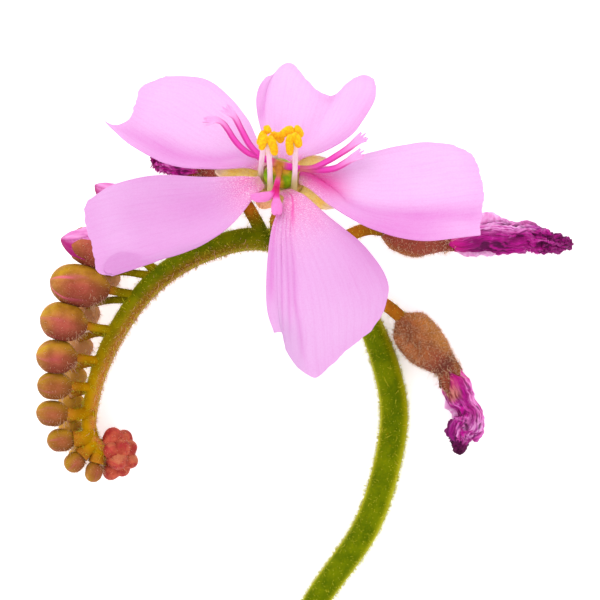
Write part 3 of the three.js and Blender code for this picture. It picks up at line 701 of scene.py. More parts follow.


# ---------- open flower: petals ----------

# outline: left and right edge from claw to shoulder, then the tip between them. "reflex" is how far
# the petal is raised in w at the reach "length", and "bulge" how far the middle of the blade is. On
# the blade s runs from claw to tip and t from right to left. Each crease is a line of (s, t) places
# with its width across, its depth and how much deeper its colour is, mostly painted shade of the fold.
# Each wash is a soft patch of deeper colour, partly the petal's own deeper pink and partly painted
# shade where the blade bends or tilts away from the light: its middle (s, t), its reach along s and
# t, and its strength. "streak" is a magenta line of (s, t) places from the claw, "streak_width" wide.
# "sparkle" is how far out the pale grains and their painted glints reach, and "grey" how much
# painted shade greys the petal, as it tilts away from the light, more than the others.
PETALS = {
    "petal_top": {
        "degrees": 76, "length": 11.7, "reflex": -2.6, "bulge": -0.35,
        "sparkle": 0.16, "grey": 0.0,
        "right": [(1.29, 1.35), (2.91, 2.14), (4.54, 3.80), (5.52, 5.87), (6.19, 8.10), (6.27, 9.63)],
        "left": [(-0.39, 1.42), (-1.11, 3.43), (-1.57, 7.03), (-1.39, 8.68), (-0.93, 9.94)],
        "tip": [(6.27, 9.63), (6.01, 10.76), (5.36, 10.98), (4.37, 9.63), (3.31, 7.81), (2.47, 8.29),
                (1.55, 10.12), (0.64, 12.05), (-0.02, 11.45), (-0.50, 10.20), (-0.93, 9.94)],
        "creases": [([(0.15, 0.5), (0.5, 0.46), (0.99, 0.42)], 0.07, 0.14, 0.12),
                    ([(0.45, 0.97), (0.65, 0.925), (0.98, 0.90)], 0.03, 0.10, 0.25)],
        "washes": [(0.15, 0.5, 0.3, 0.7, 0.25), (0.7, 0.98, 0.3, 0.10, 0.25), (0.5, 0.0, 0.5, 0.12, 0.2)],
    },
    "petal_upper_left": {
        "degrees": 139, "length": 11.7, "reflex": 0, "bulge": -0.6,
        "sparkle": 0.14, "grey": 0.0,
        "right": [(-1.05, 1.75), (-2.08, 4.58), (-3.39, 6.74), (-4.90, 8.12), (-7.50, 8.38)],
        "left": [(-1.75, 0.58), (-4.20, 0.47), (-7.11, 0.78), (-9.50, 2.29), (-11.42, 4.49)],
        "tip": [(-7.50, 8.38), (-8.93, 7.52), (-9.30, 6.39), (-9.80, 4.75), (-10.64, 4.15),
                (-11.42, 4.49)],
        "creases": [([(0.2, 0.5), (0.37, 0.66), (0.58, 0.757), (0.79, 0.79), (0.96, 0.85)],
                     0.10, 0.16, 0.28)],
        "washes": [(0.42, 0.88, 0.42, 0.22, 0.38), (0.1, 0.5, 0.18, 0.6, 0.3)],
    },
    "petal_lower_left": {
        "degrees": 202, "length": 13.4, "reflex": 0, "bulge": -0.5,
        "sparkle": 0.4, "grey": 0.45,
        "right": [(-1.80, -0.14), (-4.19, -0.30), (-8.39, -0.24), (-10.96, -1.07), (-11.79, -1.75)],
        "left": [(-1.45, -1.55), (-2.89, -4.04), (-4.80, -5.89), (-7.67, -7.32), (-10.73, -8.66)],
        "tip": [(-11.79, -1.75), (-12.48, -2.60), (-12.53, -3.78), (-11.98, -6.48), (-11.57, -8.41),
                (-10.73, -8.66)],
        "creases": [([(0.05, 0.5), (0.4, 0.42), (0.8, 0.4)], 0.25, 0.1, 0.1)],
        "washes": [(0.5, 0.4, 0.9, 0.9, 0.30), (0.30, 0.4, 0.28, 0.4, 0.18), (0.7, 0.95, 0.5, 0.25, 0.22)],
    },
    "petal_bottom": {
        "degrees": 285, "length": 12.8, "reflex": -3.5, "bulge": 0.5,
        "sparkle": 0.62, "grey": 0.25,
        "right": [(0.26, -1.79), (-0.51, -4.29), (-0.89, -8.51), (-0.76, -10.15), (-0.37, -11.18)],
        "left": [(1.49, -1.70), (3.22, -3.39), (5.47, -5.20), (6.94, -7.40), (6.68, -9.31)],
        "tip": [(-0.37, -11.18), (0.27, -11.18), (0.40, -12.18), (1.29, -13.25), (2.32, -13.65),
                (3.21, -13.03), (4.04, -12.21), (5.78, -10.63), (6.68, -9.31)],
        "creases": [([(0.2, 0.05), (0.8, 0.03)], 0.018, 0.05, 0.3),
                    ([(0.2, 0.13), (0.85, 0.10)], 0.018, 0.07, 0.4),
                    ([(0.15, 0.22), (0.9, 0.17)], 0.016, 0.07, 0.4),
                    ([(0.15, 0.29), (0.9, 0.235)], 0.018, 0.06, 0.35),
                    ([(0.2, 0.36), (0.7, 0.30), (0.93, 0.33)], 0.022, 0.08, 0.35)],
        "streak": [(0.02, 0.50), (0.1, 0.44), (0.2, 0.40), (0.36, 0.37)], "streak_width": 0.035,
        "washes": [(0.4, 0.4, 0.6, 0.5, 0.22), (0.4, 0.0, 0.45, 0.2, 0.25), (0.58, 0.98, 0.4, 0.3, 0.34),
                   (0.05, 0.5, 0.12, 0.7, 0.12)],
    },
    "petal_right": {
        "degrees": -5, "length": 13.1, "reflex": 0, "bulge": -0.5,
        "sparkle": 0.32, "grey": 0.0,
        "right": [(1.49, -0.80), (3.22, -2.68), (6.11, -4.80), (9.12, -5.64), (12.85, -5.22)],
        "left": [(1.49, 0.59), (3.23, 0.63), (5.30, 1.60), (7.60, 2.32), (9.40, 2.68), (11.20, 2.48)],
        "tip": [(12.85, -5.22), (13.00, -3.28), (13.15, -1.83), (12.85, 0.29), (12.42, 1.57),
                (11.20, 2.43)],
        "creases": [([(0.03, 0.8), (0.09, 0.7), (0.19, 0.53), (0.29, 0.32), (0.39, 0.27), (0.6, 0.29),
                      (0.79, 0.27), (0.99, 0.2)], 0.07, 0.20, 0.22)],
        "streak": [(0.02, 0.76), (0.05, 0.70), (0.10, 0.60), (0.17, 0.54), (0.38, 0.42)],
        "streak_width": 0.3,
        "washes": [(0.58, 0.10, 0.36, 0.2, 0.56), (0.8, 0.3, 0.3, 0.12, 0.12), (0.1, 0.5, 0.14, 0.6, 0.35)],
    },
}

PETAL_PALE = (231, 188, 231)
PETAL_DEEP = (210, 96, 194)

# the lower left petal's margin is folded over: s, and how far in the fold reaches there, as a share
# of the petal's width
FOLD = [(0.42, 0.0), (0.50, 0.05), (0.58, 0.11), (0.66, 0.11), (0.743, 0.095), (0.797, 0.18),
        (0.857, 0.24), (0.91, 0.23), (0.953, 0.17), (0.99, 0.06)]
FOLD_LIFT = 0.16
FOLD_THICKNESS = 0.09


def polar(radius, degrees):
    angle = math.radians(degrees)
    return np.array([radius * math.cos(angle), radius * math.sin(angle)])


def petal_surface(form, s, t):
    """Middle surface of a petal: s runs out from the claw, t across from right to left."""
    claw = polar(CLAW_RADIUS, form["degrees"])
    across = polar(CLAW_WIDTH / 2, form["degrees"] + 90)
    right = even_curve([claw - across, *form["right"]], s)
    left = even_curve([claw + across, *form["left"]], s)
    start, end = even_curve(form["tip"], [0.0, 1.0])
    share = t[..., None]
    chord = start * (1 - share) + end * share
    flat = right * (1 - share) + left * share + (even_curve(form["tip"], t) - chord) * s[..., None]
    reach = np.linalg.norm(flat, axis=-1)
    height = (CLAW_HEIGHT + (PETAL_HEIGHT - CLAW_HEIGHT) * smoothstep(reach, CLAW_RADIUS, 2.6)
              + form["reflex"] * (reach / form["length"]) ** 2
              + form["bulge"] * (1 - (2 * t - 1) ** 2) * np.sin(math.pi * s))
    return np.concatenate([flat, height[..., None]], -1)


def blade_fields(form, s, t):
    """Depth of a petal's creases, and the deeper colour of its creases and washes, much of it painted
    shade.
    """
    depth, tint = np.zeros_like(s), np.zeros_like(s)
    for line, width, deep, darker in form["creases"]:
        start, end = line[0][0], line[-1][0]
        fade = smoothstep(s, start - 0.08, start + 0.08) * (1 - smoothstep(s, end - 0.06, end + 0.06))
        strength = fade * np.exp(-((t - read(line, s)) / width) ** 2)
        depth += deep * strength
        # painted shade along the fold
        tint += darker * strength
    for place, side, long, wide, darker in form["washes"]:
        # deeper colour of a wash: the petal's own deeper pink and painted shade
        tint += darker * np.exp(-((s - place) / long) ** 2 - ((t - side) / wide) ** 2)
    return depth, tint


def streak_field(form, s, t):
    """Magenta streak from the claw along a petal's line of (s, t) places."""
    line = form["streak"]
    fade = 1 - smoothstep(s, 0.12, line[-1][0])
    return fade * np.exp(-((t - read(line, s)) / form["streak_width"]) ** 2)


def petal_grid(name, form):
    """Middle points of a petal and the values that its colour needs."""
    s, across = grid(112, 80)
    t = (across + 1) / 2
    middle = petal_surface(form, s, t)
    depth, tint = blade_fields(form, s, t)
    seed = form["degrees"] * 0.1
    wave = noise_at(middle, 2.6, seed)
    side_margin = smoothstep(np.abs(across), 0.80, 1.0) * smoothstep(s, 0.1, 0.4)
    margin = np.maximum(smoothstep(s, 0.88, 1.0), side_margin)
    warp = 1.5 * noise_at(middle, 1.8, seed + 5)
    veins = 0.004 * np.cos(t * TURN * VEINS + warp) * np.sin(math.pi * t) ** 0.5
    middle[..., 2] += 0.10 * wave * margin + 0.05 * noise_at(middle, 1.3, seed + 9) - depth + veins
    nibbled = 0.07 * noise_at(middle, 0.35, seed + 3) + 0.12 * noise_at(middle, 0.9, seed + 4)
    middle[..., :2] += (nibbled * smoothstep(s, 0.95, 1.0))[..., None] * unit(middle[..., :2])
    values = {
        "along": s,
        "across": t,
        "tint": tint + 0.12 * margin + 0.05 * wave,
        "streak": streak_field(form, s, t) if "streak" in form else 0 * s,
        "claw": 1 - smoothstep(s, 0.02, form["sparkle"]),
        "foot": 1 - smoothstep(s, 0.0, 0.07),
        "grey": form["grey"] + 0 * s,
    }
    if name == "petal_bottom":  # a patch of painted grey shade beside its tip
        values["grey"] += 0.8 * smoothstep(s, 0.72, 0.9) * np.exp(-((t - 0.2) / 0.13) ** 2)
    return middle, values


def folded_margin(form):
    """The strip of the lower left petal that is folded over onto its face."""
    s, across = grid(70, 8, FOLD[0][0], FOLD[-1][0])
    share = (across + 1) / 2
    reach = read(FOLD, s)
    t = 1 - reach * share
    middle = petal_surface(form, s, t)
    middle[..., 2] += FOLD_LIFT * np.minimum(1, 3 * share) * smoothstep(reach, 0, 0.05) - 0.02
    tint = 0.36 + 0.16 * smoothstep(s, 0.74, 0.8)
    return middle, {"along": s, "across": t, "tint": tint, "grey": form["grey"]}


def vein_lines(finish):
    """Fine lines that run out along a petal."""
    warp = finish.times(finish.noise(0.9, detail=2), 3.0)
    phase = finish.calculate("ADD", finish.times("across", TURN * VEINS), warp)
    wave = finish.calculate("ADD", finish.times(finish.calculate("SINE", phase), 0.5), 0.5)
    return finish.calculate("POWER", wave, 6.0)


def claw_colours(finish, tint, streaks):
    """Rosy near the claw, with a magenta streak, pale grains with painted glints beside it and a peach
    foot.
    """
    near = finish.calculate("POWER", "claw", 1.8)
    rosy = finish.times(near, finish.spread(streaks, 0.36, 0.60, 0.3, 0.9))
    tint = finish.blend(rosy, tint, (238, 98, 180))
    magenta = finish.times("streak", finish.spread(streaks, 0.34, 0.54, 0.65, 1.0))
    tint = finish.blend(magenta, tint, (230, 44, 166))
    sand = finish.noise(0.065, detail=1)
    dots = finish.times("claw", finish.spread(sand, 0.46, 0.36, 0, 0.45))
    tint = finish.blend(dots, tint, (196, 100, 176))
    beside = finish.calculate("SUBTRACT", 1.0, "streak")
    # white specks beside the streak: painted glints on the pale grains
    specks = finish.times(finish.times("claw", beside), finish.spread(sand, 0.54, 0.66, 0, 0.75))
    tint = finish.blend(specks, tint, (253, 244, 251))
    peach = finish.spread(finish.noise(0.3), 0.3, 0.7, 0.1, 0.7)
    return finish.blend(finish.times(finish.times("foot", beside), peach), tint, (222, 186, 150))


def petal_finish():
    finish = Finish("petal_skin", roughness=0.6, specular=0.12)
    lines = vein_lines(finish)
    streaks = finish.noise(0.012, detail=3, place=finish.lanes(0.06))
    grain = finish.noise(0.11, detail=2, rough=0.7)
    # deeper colour of creases and washes, much of it painted shade
    deeper = finish.total(
        "tint",
        finish.times(lines, 0.06),
        finish.spread(streaks, 0.45, 0.75, 0, 0.12),
        finish.spread(grain, 0.4, 0.7, 0, 0.14),
    )
    tint = finish.blend(deeper, PETAL_PALE, PETAL_DEEP)
    # painted shade: greyer where a petal tilts away from the light
    tint = finish.blend(finish.times("grey", 0.5), tint, (196, 160, 200))
    finish.paint(claw_colours(finish, tint, streaks), translucent=0.3)
    finish.bump(finish.total(finish.times(grain, 0.7), finish.times(lines, 0.2)), 0.015, 0.5)
    return finish


def make_petals():
    finish = petal_finish()
    for name, form in PETALS.items():
        shape = Shape(in_flower=True)
        middle, values = petal_grid(name, form)
        edge = np.maximum(values["along"], np.abs(2 * values["across"] - 1))
        thickness = PETAL_THICKNESS * (1 - 0.6 * smoothstep(edge, 0.8, 1.0))
        shape.add_leaf(middle, thickness, **values)
        if name == "petal_lower_left":
            fold, fold_values = folded_margin(form)
            shape.add_leaf(fold, FOLD_THICKNESS, **fold_values)
        piece(name + "_blade", shape, [finish], [name])


# ---------- open flower: calyx ----------

CUP_PROFILE = [(CUP_FOOT, 0.45), (-1.7, 1.0), (-0.8, 1.42), (-0.35, 1.5), (CUP_TOP, 1.42), (-0.06, 1.3),
               (-0.16, 1.0)]
SEPALS = [(36, 3.7), (103, 3.6), (165, 4.3), (238, 2.35), (331, 4.0)]  # direction and reach
TAN_SEPAL = 238  # this one is tan, the others yellow
SEPAL_START = 0.9  # distance of a sepal's foot from the flower's axis
# half width and w of a sepal, from its foot to its tip
SEPAL_WIDTH = [(0, 0.5), (0.3, 0.76), (0.6, 0.78), (0.8, 0.62), (0.93, 0.36), (1.0, 0.06)]
SEPAL_HEIGHT = [(0, -0.7), (0.3, -0.5), (0.7, -0.42), (1.0, -0.55)]


def sepal_finish():
    finish = Finish("sepal_skin", roughness=0.5, specular=0.15)
    patches = finish.noise(0.7, detail=3)
    dots = finish.noise(0.11, detail=2)
    yellow = finish.mottle(patches, (250, 230, 74), (255, 246, 150))
    yellow = finish.blend(finish.spread(dots, 0.5, 0.7, 0, 0.6), yellow, (226, 190, 20))
    pale = finish.blend("tip", yellow, (250, 238, 206))
    tan = finish.mottle(dots, (230, 170, 112), (246, 208, 150))
    tint = finish.blend("tan", pale, tan)
    brown = finish.mottle(dots, (146, 120, 10), (190, 160, 40))
    tint = finish.blend("brown", tint, brown)
    olive = finish.mottle(dots, (206, 178, 60), (232, 190, 120))
    finish.paint(finish.blend("inner", tint, olive), translucent=0.4)
    finish.bump(dots, 0.02, 0.6)
    return finish


def turned(reach, angle, height):
    """Rings round the open flower's axis."""
    return np.stack([reach * np.cos(angle), reach * np.sin(angle), height + 0 * angle], -1)


def add_sepal(shape, degrees, reach):
    """A pointed sepal with three folds along it."""
    r, k = grid(40, 14)
    width = read(SEPAL_WIDTH, r)
    height = read(SEPAL_HEIGHT, r) + 0.10 * k**2 * width + 0.04 * np.cos(3 * TURN * k / 2)
    distance = SEPAL_START + (reach - SEPAL_START) * r
    flat = distance[..., None] * polar(1, degrees) + (k * width)[..., None] * polar(1, degrees + 90)
    foot = 1 - smoothstep(r, 0.05, 0.3)
    rim = smoothstep(np.abs(k), 0.9, 1) * 0.35
    tan = 1.0 if degrees == TAN_SEPAL else 0.0
    shape.add_leaf(np.concatenate([flat, height[..., None]], -1), SEPAL_THICKNESS * (1 - 0.5 * r),
                   tip=smoothstep(r, 0.7, 1) * (1 - tan), brown=np.maximum(foot, rim) * 0.6, tan=tan)


def open_calyx():
    """Cup with five sepals."""
    shape = Shape(in_flower=True)
    t, angle = wrap(40, 60)
    height, reach = np.split(smooth_curve(CUP_PROFILE, t[:, 0]), 2, axis=1)
    inner = smoothstep(t, 0.55, 0.7)
    shape.add_loft(turned(reach * (1 + 0.02 * np.cos(5 * angle)), angle, height),
                   brown=0.75 * (1 - inner), inner=inner)
    for degrees, reach in SEPALS:
        add_sepal(shape, degrees, reach)
    return shape


# ---------- open flower: ovary, styles and stamens ----------

# share of the height and of the radius, from foot to top
OVARY_PROFILE = [(0, 0.82), (0.15, 0.94), (0.4, 1.0), (0.65, 0.96), (0.85, 0.72), (1, 0.35)]
STYLE_ROOT = (0, 0, OVARY_HEIGHT + 0.10)
# each style is a stalk that forks into two arms
STYLES = [
    {"stalk": [STYLE_ROOT, (-0.72, 0.30, 1.50), (-1.43, 0.60, 1.55)], "tip": "fan",
     "arms": [[(-1.30, 0.56, 1.57), (-1.95, 1.22, 1.9), (-2.50, 2.10, 2.4), (-2.92, 2.80, 2.8),
               (-3.35, 3.22, 3.0)],
              [(-1.30, 0.50, 1.57), (-1.93, 0.68, 1.62), (-2.58, 1.13, 1.85), (-3.03, 1.60, 2.15),
               (-3.35, 1.98, 2.5), (-3.71, 2.32, 2.8), (-4.13, 2.44, 2.95), (-4.52, 2.38, 3.0)]]},
    {"stalk": [STYLE_ROOT, (0.60, -0.05, 1.30), (1.25, -0.12, 1.15)], "tip": "broad",
     "arms": [[(1.10, -0.08, 1.17), (2.07, -0.13, 1.2), (3.07, 0.31, 1.35), (3.66, 0.68, 1.45),
               (4.41, 1.15, 1.65), (4.95, 1.59, 1.8), (5.22, 1.80, 1.9)],
              [(1.10, -0.16, 1.17), (2.21, -0.28, 1.15), (2.96, -0.28, 1.15), (3.60, -0.17, 1.22),
               (4.14, 0.11, 1.35), (4.68, 0.38, 1.55), (5.05, 0.52, 1.75)]]},
    {"stalk": [STYLE_ROOT, (-0.10, -0.96, 1.38), (-0.24, -1.78, 1.18)], "tip": "spoon",
     "arms": [[(-0.26, -1.68, 1.25), (-0.42, -2.16, 1.25), (-0.77, -2.37, 1.2), (-1.28, -2.54, 1.25),
               (-1.86, -2.68, 1.3)],
              [(-0.20, -1.68, 1.25), (-0.22, -2.65, 1.2), (-0.20, -3.28, 1.15), (-0.20, -4.00, 1.1)]]},
]
# half width of an arm along it, as a share of the style's radius
ARM_WIDTHS = {
    "fan": [(0, 0.7), (0.2, 0.76), (0.55, 0.70), (0.75, 0.78), (0.9, 1.25), (1.0, 1.7)],
    "broad": [(0, 0.6), (0.2, 0.8), (0.55, 0.86), (0.75, 1.0), (0.9, 1.35), (1.0, 1.75)],
    "spoon": [(0, 0.6), (0.25, 0.7), (0.4, 1.0), (0.5, 1.22), (0.66, 1.35), (0.84, 1.25), (0.92, 1.0),
              (0.97, 0.65), (1.0, 0.15)],
}

# line of each filament, and of the anther that is slung over its top
STAMENS = [
    ([(-0.62, -1.12, 0), (-0.66, -0.86, 2.3), (-0.75, -0.48, 4.25)],
     [(-1.20, -0.88, 3.9), (-1.02, -0.62, 4.55), (-0.75, -0.50, 4.75), (-0.48, -0.78, 4.4),
      (-0.30, -1.10, 3.6)]),
    ([(0.90, -0.86, 0), (0.98, -0.60, 2.3), (0.90, -0.27, 4.06)],
     [(0.68, -1.02, 3.5), (0.62, -0.60, 4.4), (0.78, -0.28, 4.75), (1.05, -0.42, 4.5),
      (1.28, -0.66, 3.9)]),
    ([(0.95, 0.78, 0), (1.02, 0.74, 2.2), (0.92, 0.63, 3.60)],
     [(0.04, 0.24, 4.0), (0.50, 0.46, 4.2), (0.90, 0.60, 4.25), (1.16, 0.58, 4.1), (1.36, 0.50, 3.6)]),
    ([(-0.32, 1.18, 0), (-0.28, 1.05, 1.8), (-0.21, 0.74, 3.10)],
     [(-0.62, 0.62, 3.2), (-0.22, 0.70, 3.65), (0.16, 0.52, 3.1)]),
    ([(-1.24, 0.14, 0), (-1.20, -0.06, 1.7), (-0.98, 0.22, 3.54)],
     [(-0.60, 0.46, 4.45), (-0.98, 0.26, 4.42), (-1.34, -0.14, 3.5)]),
]


def ovary_finish():
    finish = Finish("ovary_skin", roughness=0.4, specular=0.12)
    patches = finish.noise(0.4, detail=2)
    green = finish.mottle(patches, (98, 142, 0), (146, 172, 2))
    ochre = finish.mottle(patches, (170, 122, 10), (206, 148, 50))
    finish.paint(finish.blend("ochre", green, ochre))
    finish.bump(finish.noise(0.08), 0.015, 0.5)
    return finish


def ovary():
    """Three lobes, one of them towards the top petal, under the foot of the styles."""
    shape = Shape(in_flower=True)
    rows, angle = wrap(44, 72)
    t, share = np.split(smooth_curve(OVARY_PROFILE, rows[:, 0]), 2, axis=1)
    lobes = 0.80 + 0.23 * np.abs(np.cos(1.5 * (angle - TURN / 4))) ** 0.8
    ribs = 1 + 0.008 * np.cos(24 * angle)
    height = CUP_TOP + 0.06 + (OVARY_HEIGHT - CUP_TOP - 0.06) * t
    groove = 1 - smoothstep(lobes, 0.84, 0.95)
    shape.add_loft(turned(OVARY_RADIUS * share * lobes * ribs, angle, height),
                   ochre=np.maximum(groove, smoothstep(t, 0.78, 1.0)))
    return shape


def style_finish():
    finish = Finish("style_skin", roughness=0.38, specular=0.25)
    streaks = finish.noise(0.05, detail=3, place=finish.lanes(0.4))
    hot = finish.mottle(streaks, (226, 10, 166), (236, 50, 198))
    pale = finish.mottle(streaks, (236, 144, 214), (238, 184, 230))
    tint = finish.blend("tip", hot, pale)
    edge = finish.times("edge", finish.spread(streaks, 0.2, 0.6, 0.6, 1.0))
    tint = finish.blend(edge, tint, (198, 0, 140))
    rust = finish.mottle(streaks, (186, 112, 12), (208, 140, 40))
    tint = finish.blend("rust", tint, rust)
    finish.paint(finish.blend("deep", tint, (208, 8, 108)), translucent=0.25)
    finish.bump(streaks, 0.02, 0.4)
    return finish


def arm(path, kind):
    """Middle points of a flat arm, widened and fringed at its tip."""
    r, k = grid(56, 16)
    centre = smooth_curve(path, r[:, :1])
    direction = unit(np.gradient(centre[:, 0], axis=0))[:, None]
    side = unit(np.cross([0, 0, 1], direction))
    width = read(ARM_WIDTHS[kind], r) * STYLE_RADIUS
    middle = centre + (k * width)[..., None] * side
    if kind != "spoon":
        fringe = 0.42 * np.abs(np.sin(2.25 * TURN * (k + 0.06) / 2)) ** 0.7 + 0.12 * np.sin(9 * k)
        middle += (fringe * smoothstep(r, 0.82, 1.0) ** 2)[..., None] * direction
        middle[..., 2] += 0.10 * k**2 - 0.10 * smoothstep(r, 0.85, 1.0) * np.abs(k)
    else:
        middle[..., 2] -= 0.16 * k**2 * width / STYLE_RADIUS
    return middle, r


def add_spoon_arm(shape, path):
    """An arm of the front style: rounded, deep pink at its foot and paler towards its tip."""
    middle, r = arm(path, "spoon")
    across = np.linspace(-1, 1, middle.shape[1])[None]
    thickness = 0.20 + 0.16 * smoothstep(r, 0.3, 0.6)
    shape.add_leaf(middle, thickness * np.sqrt(np.clip(1.02 - across**2, 0.02, 1)), along=r, across=across,
                   tip=0.55 * smoothstep(r, 0.25, 0.45), deep=1 - smoothstep(r, 0.15, 0.4))


def add_flat_arm(shape, path, kind):
    """An arm of the other styles: flat, dark along its edges and pale at its fringed tip."""
    middle, r = arm(path, kind)
    across = np.linspace(-1, 1, middle.shape[1])[None]
    thickness = 0.2 * (1 - 0.75 * smoothstep(r, 0.6, 1.0)) * (1 - 0.5 * across**2)
    edge = 0.8 * smoothstep(np.abs(across), 0.6, 1.0) * (1 - smoothstep(r, 0.6, 0.9))
    rust = 0.5 * (1 - smoothstep(r, 0.05, 0.28)) * (kind == "broad")
    shape.add_leaf(middle, thickness, along=r, across=across, tip=0.1 + 0.9 * smoothstep(r, 0.4, 0.9),
                   edge=edge, rust=rust)


def styles():
    """Three forked styles and the hub where they join."""
    shape = Shape(in_flower=True)
    t, angle = wrap(20, 20)
    hub = Track([(0, 0, OVARY_HEIGHT - 0.2), (0, 0, OVARY_HEIGHT + 0.28)], [0.50, 0.44, 0.38, 0.30, 0.12],
                up=(0, 1, 0))
    shape.add_loft(hub.at(t, angle, 1 + 0.05 * np.cos(3 * angle)), rust=1.0)
    for style in STYLES:
        front = style["tip"] == "spoon"
        shares = (1.0, 0.6, 0.85) if front else (1.1, 0.9, 0.85)
        radii = [STYLE_RADIUS * share for share in shares]
        rust = 1 - smoothstep(t, 0.45, 0.85) if front else 1 - smoothstep(t, 0.1, 0.5)
        shape.add_loft(Track(style["stalk"], radii).at(t, angle), along=t, rust=rust,
                       deep=smoothstep(t, 0.6, 0.95) if front else 0.0)
        for path in style["arms"]:
            if front:
                add_spoon_arm(shape, path)
            else:
                add_flat_arm(shape, path, style["tip"])
    return shape


def filament_finish():
    finish = Finish("filament_skin", roughness=0.4, specular=0.25)
    lines = finish.noise(0.05, detail=2, place=finish.lanes(0.3))
    tint = finish.mottle(lines, (236, 202, 218), (246, 226, 236))
    foot = finish.blend("foot", tint, (214, 196, 130))
    finish.paint(finish.blend("top", foot, (246, 226, 190)), translucent=0.4)
    finish.bump(lines, 0.01, 0.4)
    return finish


def filament(path):
    """A stamen's stalk."""
    shape = Shape(in_flower=True)
    t, angle = wrap(30, 20)
    radii = [FILAMENT_RADIUS * share for share in (1.1, 0.85, 0.9, 1.05)]
    rings = Track(path, radii, up=(0, 1, 0)).at(t, angle, 1 + 0.05 * np.cos(2 * angle))
    shape.add_loft(rings, along=t, across=angle / TURN, top=smoothstep(t, 0.75, 1),
                   foot=1 - smoothstep(t, 0.1, 0.35))
    return shape


def anther_finish():
    finish = Finish("anther_skin", roughness=0.75, specular=0.2)
    lumps = finish.noise(0.14, detail=2)
    yellow = finish.mottle(lumps, (242, 166, 0), (250, 200, 0), 0.35, 0.65)
    finish.paint(finish.blend("grain", yellow, (252, 210, 0)), translucent=0.15)
    finish.bump(finish.cells(0.05), 0.006, 0.5)
    return finish


def icosahedron():
    """Points and faces of a ball of twenty triangles."""
    golden = (1 + math.sqrt(5)) / 2
    points = np.array([(-1, golden, 0), (1, golden, 0), (-1, -golden, 0), (1, -golden, 0),
                       (0, -1, golden), (0, 1, golden), (0, -1, -golden), (0, 1, -golden),
                       (golden, 0, -1), (golden, 0, 1), (-golden, 0, -1), (-golden, 0, 1)], float)
    faces = np.array([(0, 11, 5), (0, 5, 1), (0, 1, 7), (0, 7, 10), (0, 10, 11), (1, 5, 9), (5, 11, 4),
                      (11, 10, 2), (10, 7, 6), (7, 1, 8), (3, 9, 4), (3, 4, 2), (3, 2, 6), (3, 6, 8),
                      (3, 8, 9), (4, 9, 5), (2, 4, 11), (6, 2, 10), (8, 6, 7), (9, 8, 1)])
    return unit(points), faces


def anther(path, seed):
    """Two sacs covered with grains of pollen, one down each side of the filament's top."""
    shape = Shape(in_flower=True)
    top = (len(path) - 1) // 2
    t, angle = wrap(24, 24)
    for points in (path[:top + 1], path[top:]):
        track = Track(points, lambda t: SAC_RADIUS * (1 - np.abs(2 * t - 1) ** 5) ** 0.5 + 0.01,
                      up=(0.2, 1, 0.1))
        rings = track.at(t, angle)
        bumps = noise_at(rings, 0.3, seed) * 0.10 + noise_at(rings, 0.1, seed + 3) * 0.03
        shape.add_loft(track.at(t, angle, 1 + bumps - 0.08 * np.cos(2 * angle)))
    grain, faces = icosahedron()
    rng = np.random.default_rng(40 + seed)
    places, normals = shape.scatter(240, rng)
    sizes = rng.uniform(0.014, 0.026, len(places))
    grains = (places + normals * 0.005)[:, None] + grain[None] * sizes[:, None, None]
    shape.in_flower = False  # the places are in the plan already
    shape.add(grains.reshape(-1, 3), repeated(faces, len(grain), len(places)), grain=1.0)
    return shape


def make_flower_centre():
    calyx = open_calyx()
    sepal = sepal_finish()
    piece("calyx_open_sepals", calyx, [sepal], ["calyx_open"])
    hairs = Shape()
    spread_hairs(hairs, calyx, 1500, (0.06, 0.2), 21)
    spread_hairs(hairs, calyx, 160, (0.15, 0.3), 22, lambda values: values["tip"])
    piece("calyx_open_hairs", hairs,
          [hair_finish("sepal_hair", (228, 214, 160), (248, 244, 226))])
    piece("ovary_lobes", ovary(), [ovary_finish()], ["ovary"])
    piece("styles_forked", styles(), [style_finish()], ["styles"])
    pale, yellow = filament_finish(), anther_finish()
    for number, (line, sling) in enumerate(STAMENS, 1):
        piece(f"filament_{number}_stalk", filament(line), [pale], [f"filament_{number}"])
        piece(f"anther_{number}_sacs", anther(sling, number), [yellow], [f"anther_{number}"])


# ---------- buds ----------

# share of the length and of the radius, from foot to tip
BUD_PROFILE = [(0, 0.28), (0.10, 0.60), (0.28, 0.92), (0.50, 1.0), (0.72, 0.93), (0.88, 0.68),
               (0.97, 0.34), (1.0, 0.06)]
OPENING_PROFILE = [(0, 0.30), (0.08, 0.62), (0.25, 0.94), (0.45, 1.0), (0.66, 0.88), (0.84, 0.60),
                   (0.95, 0.30), (1.0, 0.06)]
BUD_LIT_SIDE = (-0.35, 0.9, 0.25)  # the side of a bud that faces this way is ochre: its own colour with painted light
BUD_SHADED_SIDE = (0.1, -1.0, 0.1)  # and the side that faces this way is dark red: painted shade
SEAM_START = 15.884  # turns the first bud's sepals so that a seam shows on its upper side
SEPAL_TURN = 0.58  # turns the opening buds' sepals so that one faces the camera
TOOTH_ROOT = 0.45  # where an opening bud's sepals part, as a share of its length
TOOTH_POINTS = (0.80, 0.86, 0.60, 0.83, 0.84)  # and where they end


def bud_radius(t, profile=BUD_PROFILE):
    """Share of a bud's radius along it."""
    dense = smooth_curve(profile, np.linspace(0, 1, 200))
    return np.interp(t, dense[:, 0], dense[:, 1])


def seams(angle, t, twist):
    """Grooves between five sepals, 1 in a groove, and the place across each sepal."""
    phase = (5 * angle / TURN + 0.5 + twist * t) % 1 - 0.5
    return np.exp(-(phase / 0.055) ** 2), phase


